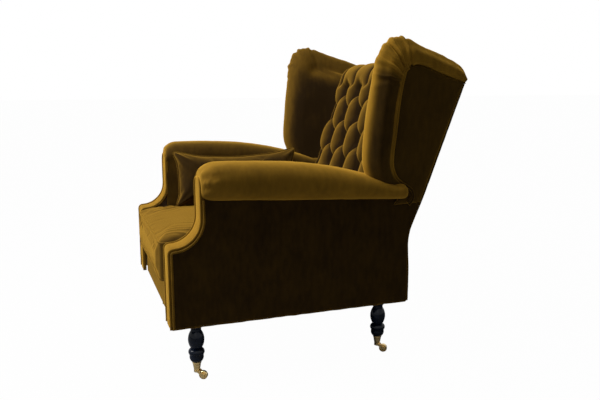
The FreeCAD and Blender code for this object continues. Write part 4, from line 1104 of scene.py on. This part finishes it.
@dataclass
class OutsideBack(Upholstery):
    """Outside of the back: one thinly padded panel that bends at the knee, its upper corners rounded."""

    top: float = 0.902
    corner: float = 0.030
    thick: float = 0.006
    swell: float = 0.004
    inset: float = 0.001
    cord: float = 0.0034
    rows: int = 170
    columns: int = 61

    def build(self) -> None:
        """The panel and the piping down its two sides and along its top."""
        across = np.linspace(-1, 1, self.columns)
        across = np.sign(across) * (1 - (1 - np.abs(across)) ** 1.5)
        half, low = self.outline.half_width - self.inset, self.outline.low + self.inset
        x = half * across
        reach = np.clip((np.abs(x) - (half - self.corner)) / self.corner, 0, 1)
        top = self.top - self.corner * (1 - np.sqrt(1 - reach**2 * 0.999))
        z = low + (top - low) * np.linspace(0, 1, self.rows)[:, None]
        wide = np.repeat(x[None, :], self.rows, axis=0)
        edge = np.minimum((half - np.abs(wide)) / 0.03, 1) * np.minimum((top - z) / 0.02, 1)
        plane = self.outline.behind(z)
        outer = np.stack([wide, plane + self.swell * np.sqrt(np.clip(edge, 0, 1)), z], axis=2)
        outer[..., 1] += 0.0012 * grain(outer, (0.12, 0.1, 0.14), 71.0)
        inner = outer.copy()
        inner[..., 1] = plane - self.thick
        piece = ring_tube("back_panel", self.outline.place(two_faced(outer, inner)))
        self.cover(piece, ["outside_back"], fill=0.5)
        self.piping(half)

    def piping(self, half: float) -> None:
        """Cord up one side, across the top and down the other."""
        turn = np.linspace(0, QUARTER, 10)
        stem = np.linspace(self.outline.low + 0.003, self.top - self.corner, 120)
        bend = np.column_stack([
            half - self.corner + self.corner * np.cos(turn), self.top - self.corner + self.corner * np.sin(turn)
        ])
        right = np.concatenate([np.column_stack([np.full(120, half), stem]), bend])
        line = np.concatenate([right, right[::-1] * np.array([-1, 1])])
        path = np.column_stack([line[:, 0], self.outline.behind(line[:, 1]) + 0.001, line[:, 1]])
        self.cover(welt("back_piping", self.outline.place(path), self.cord, 8.0))


@dataclass
class InsideBack(Upholstery):
    """Deep-buttoned back: diamond folds between staggered buttons, pleats over the top and down to the seat."""

    foot: float = 0.292
    foot_y: float = 0.586
    lean: float = math.radians(19.3)
    top: float = 0.958
    crown: float = 0.009
    swell: float = 0.012
    swell_span: float = 0.62
    roll: float = 0.052
    roll_turn: float = math.radians(128)
    gap: float = 0.003
    widening: float = 0.055
    side_round: float = 0.035
    side_drop: float = 0.030
    pitch: float = 0.120
    rise: float = 0.090
    lowest: float = 0.588
    last_row: int = 3
    depth: float = 0.032
    dimple: float = 0.024
    hollow: float = 0.032
    fold: float = 0.012
    fold_wide: float = 0.0130
    pillow: float = 0.013
    pillow_power: float = 0.7
    pucker: float = 0.0016
    button: float = 0.011
    button_sink: float = 0.0015
    rim: Profile = (
        (0.55, -0.002), (0.92, -0.001), (1.0, 0.0016), (0.93, 0.0036), (0.74, 0.0052), (0.45, 0.0063),
        (0.12, 0.0067),
    )
    rows: int = 190
    columns: int = 230

    @property
    def half(self) -> float:
        """Half the width of the back between the wings."""
        return self.outline.arm_inner - self.gap

    def buttons(self) -> list[tuple[float, float]]:
        """X and height of every button."""
        places = []
        for row in range(self.last_row + 1):
            count = 5 - row % 2
            for column in range(count):
                x = (column - (count - 1) / 2) * self.pitch
                if abs(x) < self.half - self.button:
                    places.append((x, self.lowest + row * self.rise))
        return places

    def face_y(self, x: float, z: Array | float) -> Array | float:
        """Y of the swollen face before it is quilted."""
        up = z - self.foot
        swell = self.swell * (1 - (x / self.half) ** 2)
        return self.foot_y + up * math.tan(self.lean) - swell * (0.4 + 0.6 * up / self.swell_span)

    def relief(self, x: Array, z: Array) -> tuple[Array, Array]:
        """Depth of the quilting at places of the face, negative below it.

        Args:
            x: Distance from the middle.
            z: Height on the face.

        Returns:
            Height above the plain face, and the painted shade that darkens the dimples and the folds.
        """
        up, high = z - self.lowest, self.last_row * self.rise
        across, rise = x / self.pitch, up / (2 * self.rise)
        unit = 1 / math.hypot(1 / self.pitch, 1 / (2 * self.rise))
        first, second = across + rise, across - rise
        diagonal = np.minimum(np.abs(first - np.round(first)), np.abs(second - np.round(second))) * unit
        top_x = np.abs(((across + 0.5 * (1 + self.last_row)) % 1.0 + 0.5) % 1.0 - 0.5) * self.pitch
        low_x = np.abs((across + 0.5) % 1.0 - 0.5) * self.pitch
        above, below = ease(up, high - 0.010, high + 0.022), 1 - ease(up, -0.022, 0.010)
        pillow, crease = np.zeros(x.shape), np.zeros(x.shape)
        for share, swollen, line in (
            (1 - above - below, np.sin(math.pi * first) * np.sin(math.pi * second), diagonal),
            (above, np.sin(math.pi * top_x / self.pitch), top_x),
            (below, np.sin(math.pi * low_x / self.pitch), low_x),
        ):
            pillow += share * np.abs(swollen) ** self.pillow_power
            crease += share * np.exp(-((line / self.fold_wide) ** 1.35))
        nearest = np.full(x.shape, 10.0)
        for button_x, button_z in self.buttons():
            nearest = np.minimum(nearest, np.hypot(x - button_x, z - button_z))
        fade = 1 - ease(up, high + 0.06, high + 0.12)
        height = self.pillow * pillow + self.puckers(x, z)
        height -= self.depth * 0.75 * np.exp(-((nearest / self.dimple) ** 1.9))
        height -= self.depth * 0.45 * np.exp(-nearest / self.hollow)
        height -= self.fold * crease * (0.25 + 0.75 * np.exp(-nearest / 0.045)) * fade
        # The second value is painted shade, darkest in the button dimples and along the folds.
        return height, -0.34 * np.exp(-((nearest / 0.030) ** 2)) - 0.26 * crease

    def puckers(self, x: Array, z: Array) -> Array:
        """Small curved creases that run out from under each button."""
        height = np.zeros(x.shape)
        for number, (button_x, button_z) in enumerate(self.buttons()):
            away = np.hypot(x - button_x, z - button_z)
            angle = np.arctan2(z - button_z, x - button_x) + 14 * away + number
            height += self.pucker * np.sin(5 * angle) * bell(away, 0.026, 0.012)
        return height

    def profile(self, x: float) -> tuple[Array, Array, Array]:
        """Line up the face at x, over the rounded top and down behind, with its normals and face heights.

        Args:
            x: Distance from the middle.

        Returns:
            The line as Y and Z, its normals, and the height of each point measured up the face.
        """
        top = self.top - self.crown * (x / self.half) ** 2
        z = np.linspace(self.foot, top - self.roll, 60)
        y = self.face_y(x, z)
        turn = np.linspace(0, self.roll_turn, 26)[1:] + self.lean
        centre_y = y[-1] + self.roll * math.cos(self.lean)
        centre_z = z[-1] - self.roll * math.sin(self.lean)
        over = np.column_stack([centre_y - self.roll * np.cos(turn), centre_z + self.roll * np.sin(turn)])
        line = even(np.concatenate([np.column_stack([y, z]), over]), self.columns)
        run = heading(line)
        steps = np.concatenate([[0], np.cumsum(np.linalg.norm(np.diff(line, axis=0), axis=1))])
        return line, np.stack([-run[:, 1], run[:, 0]], axis=1), self.foot + steps * math.cos(self.lean)

    def build(self) -> None:
        """The quilted face, and the covered buttons in its dimples."""
        places = np.linspace(-1, 1, self.rows)
        places = np.sign(places) * (1 - (1 - np.abs(places)) ** 1.15)
        line, normal, heights = (np.array(rows) for rows in zip(*(self.profile(self.half * at) for at in places)))
        x = (self.half * places)[:, None] * (1 + self.widening * ease(heights, 0.78, 0.92))
        edge = np.clip((np.abs(x) - (self.half - self.side_round)) / self.side_round, 0, 1)
        relief, dimple_shade = self.relief(x, heights)
        relief = relief * (1 - 0.5 * edge**2) - self.side_drop * (1 - np.sqrt(1 - edge**2 * 0.98))
        grid = np.concatenate([x[..., None], line + normal * relief[..., None]], axis=2)
        grid[..., 1] -= 0.0014 * grain(grid, (0.05, 0.05, 0.06), 21.0)
        grid[..., 2] -= 0.18 * np.maximum(relief, 0)
        rear, plane = grid.copy(), self.outline.rear(grid[..., 2])
        rear[..., 1] = np.minimum(np.maximum(plane - 0.046, grid[..., 1] + 0.006), plane - 0.006)
        rear[..., 1] = np.maximum(rear[..., 1], grid[..., 1] + 0.002)
        piece = ring_tube("buttoned_back", self.outline.place(two_faced(grid, rear)))
        # Painted light and shade: the quilted face is set lighter, with painted shade in its dimples and folds;
        # the hidden reverse is plain.
        raised = np.concatenate([0.17 + dimple_shade, np.full(dimple_shade.shape, 0.12)], axis=1)
        self.cover(piece, ["back_pad"], fill=0.85, raised=raised)
        self.covered_buttons()

    def covered_buttons(self) -> None:
        """Domed buttons with the cloth drawn over their rims."""
        sides = 20
        points: list[Array] = []
        faces: list[Sequence[int]] = []
        out = np.array([0, -math.cos(self.lean), math.sin(self.lean)])
        up = np.array([0, math.sin(self.lean), math.cos(self.lean)])
        turns = np.linspace(0, 2 * math.pi, sides, endpoint=False)
        circle = self.button * (np.outer(np.cos(turns), [1.0, 0.0, 0.0]) + np.outer(np.sin(turns), up))
        for x, z in self.buttons():
            centre = np.array([x, self.face_y(x, z), z]) - out * (self.depth - self.button_sink)
            faces += tube_faces(len(self.rim), sides, len(points) * sides)
            points += [centre + out * rise + circle * reach for reach, rise in self.rim]
        piece = new_piece("covered_buttons", self.outline.place(np.concatenate(points)), faces)
        self.cover(piece, ["back_buttons"])


@dataclass
class SeatCushion(Upholstery):
    """Loose box cushion: crowned top, straight border between two piped seams, wrinkles at a front corner."""

    body: str = "seat_cushion"
    half_x: float = 0.268
    front: float = -0.019
    rear: float = 0.579
    base: float = 0.2874
    low_seam: float = 0.006
    border: float = 0.124
    crown: float = 0.024
    corner: float = 0.026
    draw_in: float = 0.004
    cord: float = 0.0036
    voxel: float = 0.006
    pressure: float = 3.0
    cap: float = 0.005
    fold_x: float = 0.300
    fold_y: float = 0.045
    fold: float = 0.0062

    def ring(self, inset: float, height: float, count: int) -> Array:
        """One ring round the cushion, drawn in by an inset, at a height above its underside.

        Args:
            inset: How far it is drawn in.
            height: Height above the underside.
            count: Number of points.

        Returns:
            Points of the ring.
        """
        half_y, centre = (self.rear - self.front) / 2, (self.rear + self.front) / 2
        ring = round_rectangle(
            self.half_x - inset, half_y - inset, self.corner + inset * 0.5, self.draw_in * (1 - inset * 5), count
        )
        return np.column_stack([ring[:, 0], ring[:, 1] + centre, np.full(count, self.base + height)])

    def shell(self) -> Array:
        """Rings of the cushion from its underside over the border to the crown."""
        profile = [
            (0.20, 0.0), (0.10, 0.0), (0.03, 0.0), (0.008, 0.001), (0.002, 0.006), (0.001, 0.02),
            (0.002, 0.062), (0.001, 0.104), (0.000, 0.118), (0.003, self.border), (0.010, self.border + 0.006),
            (0.030, self.border + 0.012), (0.075, self.border + 0.018), (0.14, self.border + 0.022),
            (0.20, self.border + self.crown),
        ]
        return np.array([self.ring(inset, height, 160) for inset, height in profile])

    def wrinkles(self, points: Array) -> Array:
        """Heights of the folds on its skin.

        Args:
            points: Points of the skin.

        Returns:
            Height at each point.
        """
        along = points[:, 1] - self.outline.front - self.fold_y
        on_top = ease(points[:, 2], self.base + self.border, self.base + self.border + 0.012)
        height = np.zeros(len(points))
        for side, strength in ((1, 1.0), (-1, 0.6)):
            across = points[:, 0] * side - self.fold_x
            away, angle = np.hypot(across, along), np.arctan2(along, -across)
            bent = away + 0.030 * grain(points, 0.10, 31.0 + side) + 0.030 * angle
            waves = np.sin(bent * 2 * math.pi / 0.034) + 0.5 * np.sin(bent * 2 * math.pi / 0.019 + 2)
            waves = waves * (0.6 + 0.8 * grain(points, 0.08, 36.0 + side))
            height += self.fold * strength * waves * bell(away, 0.095, 0.065) * bell(angle, 0.45, 0.50)
        height *= on_top
        height += 0.0022 * grain(points, (0.16, 0.10, 0.1), 33.0) * (0.4 + 0.6 * on_top)
        return height + 0.0009 * grain(points, (0.02, 0.05, 0.15), 34.0) * (1 - on_top)

    def build(self) -> None:
        """The cushion and the piping of its two seams."""
        piece = ring_tube("seat_box_cushion", self.outline.place(self.shell()))
        remesh(piece, self.voxel)
        stuff(piece, self.pressure, self.cap)
        points = read_points(piece)
        points = points + read_normals(piece) * self.wrinkles(points)[:, None]
        points[:, 2] = np.maximum(points[:, 2], self.base)
        write_points(piece, points)
        subdivide(piece)
        self.cover(piece, ["seat_cushion"], fill=0.8, body=self.body)
        for word, height in (("low", self.low_seam), ("top", self.border)):
            path = seam_on(piece, self.outline.place(self.ring(0, height, 240)), 0.001)
            self.cover(welt(f"seat_piping_{word}", path, self.cord, 5.0), body=self.body)


@dataclass
class LumbarCushion(Upholstery):
    """Knife-edged loose cushion that leans on the inside of the right arm."""

    body: str = "lumbar_cushion"
    half_long: float = 0.240
    half_high: float = 0.102
    half_thick: float = 0.043
    corner: float = 0.006
    draw_in: float = 0.014
    tilt: float = math.radians(90 - 13)
    cord: float = 0.0030
    voxel: float = 0.0045
    pressure: float = 3.0
    cap: float = 0.006
    pull: float = 0.0018
    sag: float = 0.010

    def lens(self) -> Array:
        """Rings of the cushion lying flat, from one face to the other."""
        rings = []
        for angle in np.linspace(-QUARTER, QUARTER, 25):
            reach = math.cos(angle) ** 0.8
            inset = self.half_high * (1 - reach) * 0.86
            ring = round_rectangle(
                self.half_high - inset, self.half_long - inset, self.corner + inset * 0.4,
                self.draw_in * reach, 200,
            )
            rings.append(np.column_stack([ring, np.full(200, self.half_thick * math.sin(angle))]))
        return np.array(rings)

    def settle(self) -> Matrix:
        """Move from the flat cushion to its place against the arm, read from the frame."""
        lowest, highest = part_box("lumbar_cushion")
        middle = Vector((lowest[axis] + highest[axis]) / 2 for axis in range(3))
        return Matrix.Translation(middle) @ Matrix.Rotation(self.tilt, 4, "Y")

    def build(self) -> None:
        """The cushion and the piping of its edge."""
        piece = ring_tube("lumbar_knife_cushion", self.lens())
        remesh(piece, self.voxel)
        stuff(piece, self.pressure, self.cap)
        points = read_points(piece)
        short, long = self.half_high - np.abs(points[:, 0]), self.half_long - np.abs(points[:, 1])
        pulls = np.sin(np.arctan2(short, long) * 14) * bell(np.hypot(short, long), 0.045, 0.035) * self.pull
        pulls += 0.002 * grain(points, (0.06, 0.10, 0.06), 41.0)
        points = points + read_normals(piece) * pulls[:, None]
        hang = 1 - (points[:, 1] / self.half_long) ** 2
        points[:, 0] += self.sag * hang * ease(-points[:, 0], 0.0, self.half_high)
        write_points(piece, points)
        subdivide(piece)
        ring = round_rectangle(self.half_high, self.half_long, self.corner, self.draw_in, 320)
        path = seam_on(piece, np.column_stack([ring, np.zeros(320)]), 0.0012)
        cord = welt("lumbar_piping", path, self.cord, 6.0)
        move = self.settle()
        for item in (piece, cord):
            item.data.transform(move)
        # The whole cushion is set a little darker than the plain velvet.
        self.cover(piece, ["lumbar_cushion"], fill=0.7, raised=-0.01, body=self.body)
        self.cover(cord, body=self.body)


@dataclass
class Hem(Upholstery):
    """Turned-under lower edge of the covers, drawn a little by its tacks."""

    radius: float = 0.0042
    inset: float = 0.003
    lift: float = 0.002
    wander: float = 0.0012

    def build(self) -> None:
        """One run of hem along each side and the rear."""
        outline = self.outline
        x, low = outline.half_width - self.inset, outline.low + self.lift
        front, rear = self.inset, outline.depth - self.inset
        runs = {
            "rear": ((-x, rear), (x, rear)), "left": ((x, front), (x, rear)), "right": ((-x, front), (-x, rear)),
        }
        for word, (start, end) in runs.items():
            path = np.column_stack([np.linspace(start, end, 180), np.full(180, low)])
            path[:, 2] += self.wander * grain(path, 0.03, 51.0)
            self.cover(welt(f"hem_{word}", outline.place(path), self.radius, 7.0))


@dataclass
class Studio:
    """Plain pale floor, soft lamps and the camera at the viewpoint of the photograph."""

    outline: Outline
    eye: tuple[float, float, float] = (2.187, -0.261, 0.889)
    yaw: float = math.radians(70.21)
    pitch: float = math.radians(10.34)
    lens: float = 39.5
    floor_reach: float = 30.0
    floor_tone: float = 0.4
    floor_seen: float = 0.985
    ambient: float = 0.12

    def camera(self) -> None:
        """Places the camera, its Y counted from the front of the arms."""
        data = bpy.data.cameras.new("viewpoint")
        data.sensor_width = 36
        data.lens = self.lens
        item = bpy.data.objects.new("viewpoint", data)
        bpy.context.scene.collection.objects.link(item)
        level = math.cos(self.pitch)
        look = Vector((-math.sin(self.yaw) * level, math.cos(self.yaw) * level, -math.sin(self.pitch)))
        right = Vector((math.cos(self.yaw), math.sin(self.yaw), 0))
        turn = Matrix((right, right.cross(look), -look)).transposed().to_4x4()
        place = Vector(self.eye) + Vector((0, self.outline.front, 0))
        item.matrix_world = Matrix.Translation(place) @ turn
        bpy.context.scene.camera = item

    def lamp(self, name: str, place: Sequence[float], target: Sequence[float], size: float, power: float) -> None:
        """One soft square lamp aimed at a target.

        Args:
            name: Name of the lamp.
            place: Where it stands.
            target: What it is aimed at.
            size: Length of its sides.
            power: Its power in watts.
        """
        data = bpy.data.lights.new(name, "AREA")
        data.size = size
        data.energy = power
        item = bpy.data.objects.new(name, data)
        bpy.context.scene.collection.objects.link(item)
        item.location = place
        item.rotation_euler = (Vector(target) - Vector(place)).to_track_quat("-Z", "Y").to_euler()

    def floor(self) -> None:
        """Pale floor that keeps the chair's shadow and is white to the camera."""
        far = self.floor_reach
        points = np.array([(-far, -far, 0), (far, -far, 0), (far, far, 0), (-far, far, 0)])
        piece = new_piece("studio_floor", points, [(0, 1, 2, 3)])
        material, tree, shader = start_material("pale_floor", {
            "Base Color": (self.floor_tone,) * 3 + (1,), "Roughness": 0.9, "Specular IOR Level": 0.1,
        })
        glow = add_node(tree, "Emission", {"Color": (1, 1, 1, 1)})
        mix = add_node(tree, "MixShader")
        seen = add_math(tree, "MULTIPLY", add_node(tree, "LightPath").outputs["Is Camera Ray"], self.floor_seen)
        tree.links.new(seen, mix.inputs["Fac"])
        tree.links.new(shader.outputs["BSDF"], mix.inputs[1])
        tree.links.new(glow.outputs["Emission"], mix.inputs[2])
        tree.links.new(mix.outputs["Shader"], tree.nodes["Material Output"].inputs["Surface"])
        piece.data.materials.append(material)

    def world(self) -> None:
        """Even pale surroundings, white where the camera or a reflection sees them."""
        world = bpy.data.worlds.new("studio")
        bpy.context.scene.world = world
        world.use_nodes = True
        tree = world.node_tree
        background = tree.nodes["Background"]
        background.inputs["Color"].default_value = (1, 1, 1, 1)
        path = add_node(tree, "LightPath").outputs
        strength = add_node(tree, "MapRange", {"To Min": self.ambient, "To Max": 1.0})
        either = add_math(tree, "MAXIMUM", path["Is Camera Ray"], path["Is Glossy Ray"])
        tree.links.new(either, strength.inputs["Value"])
        tree.links.new(strength.outputs["Result"], background.inputs["Strength"])

    def build(self) -> None:
        """Camera, lamps, floor and world."""
        bpy.context.scene.view_settings.view_transform = "Standard"
        self.camera()
        self.lamp("key", (0.0, -2.2, 2.0), (0, 0.1, 0.55), 1.1, 66)
        self.lamp("overhead", (0.2, -0.6, 2.5), (0, 0, 0.5), 1.2, 24)
        self.lamp("camera_fill", (3.0, -1.2, 1.8), (0, 0, 0.5), 1.6, 4)
        self.floor()
        self.world()


def dress_nodes(frame: dict, materials: dict[str, bpy.types.Material]) -> None:
    """Gives every node of the frame the procedural finish of its slot.

    Args:
        frame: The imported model.
        materials: Materials by slot.
    """
    slots = {row["node"]: row["material_slot"] for row in frame["record"]["subparts"]}
    for name, node in frame["nodes"].items():
        material = materials[slots[name]]
        if not node.material_slots:
            node.data.materials.append(material)
        for slot in node.material_slots:
            slot.material = material


def main() -> None:
    """Builds the pieces of the chair round the frame."""
    logging.basicConfig(level=logging.INFO, format="%(name)s: %(message)s")
    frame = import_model()
    materials = {slot: finish.build() for slot, finish in FINISHES.items()}
    outline = Outline()
    dress_nodes(frame, materials)
    for part in (ArmFacing, ArmPad, WingPad, OutsideBack, InsideBack, SeatCushion, LumbarCushion, Hem):
        part(outline, materials[VELVET]).build()
        LOG.info("%s done", part.__name__)
    Studio(outline).build()


if __name__ == "__main__":
    main()
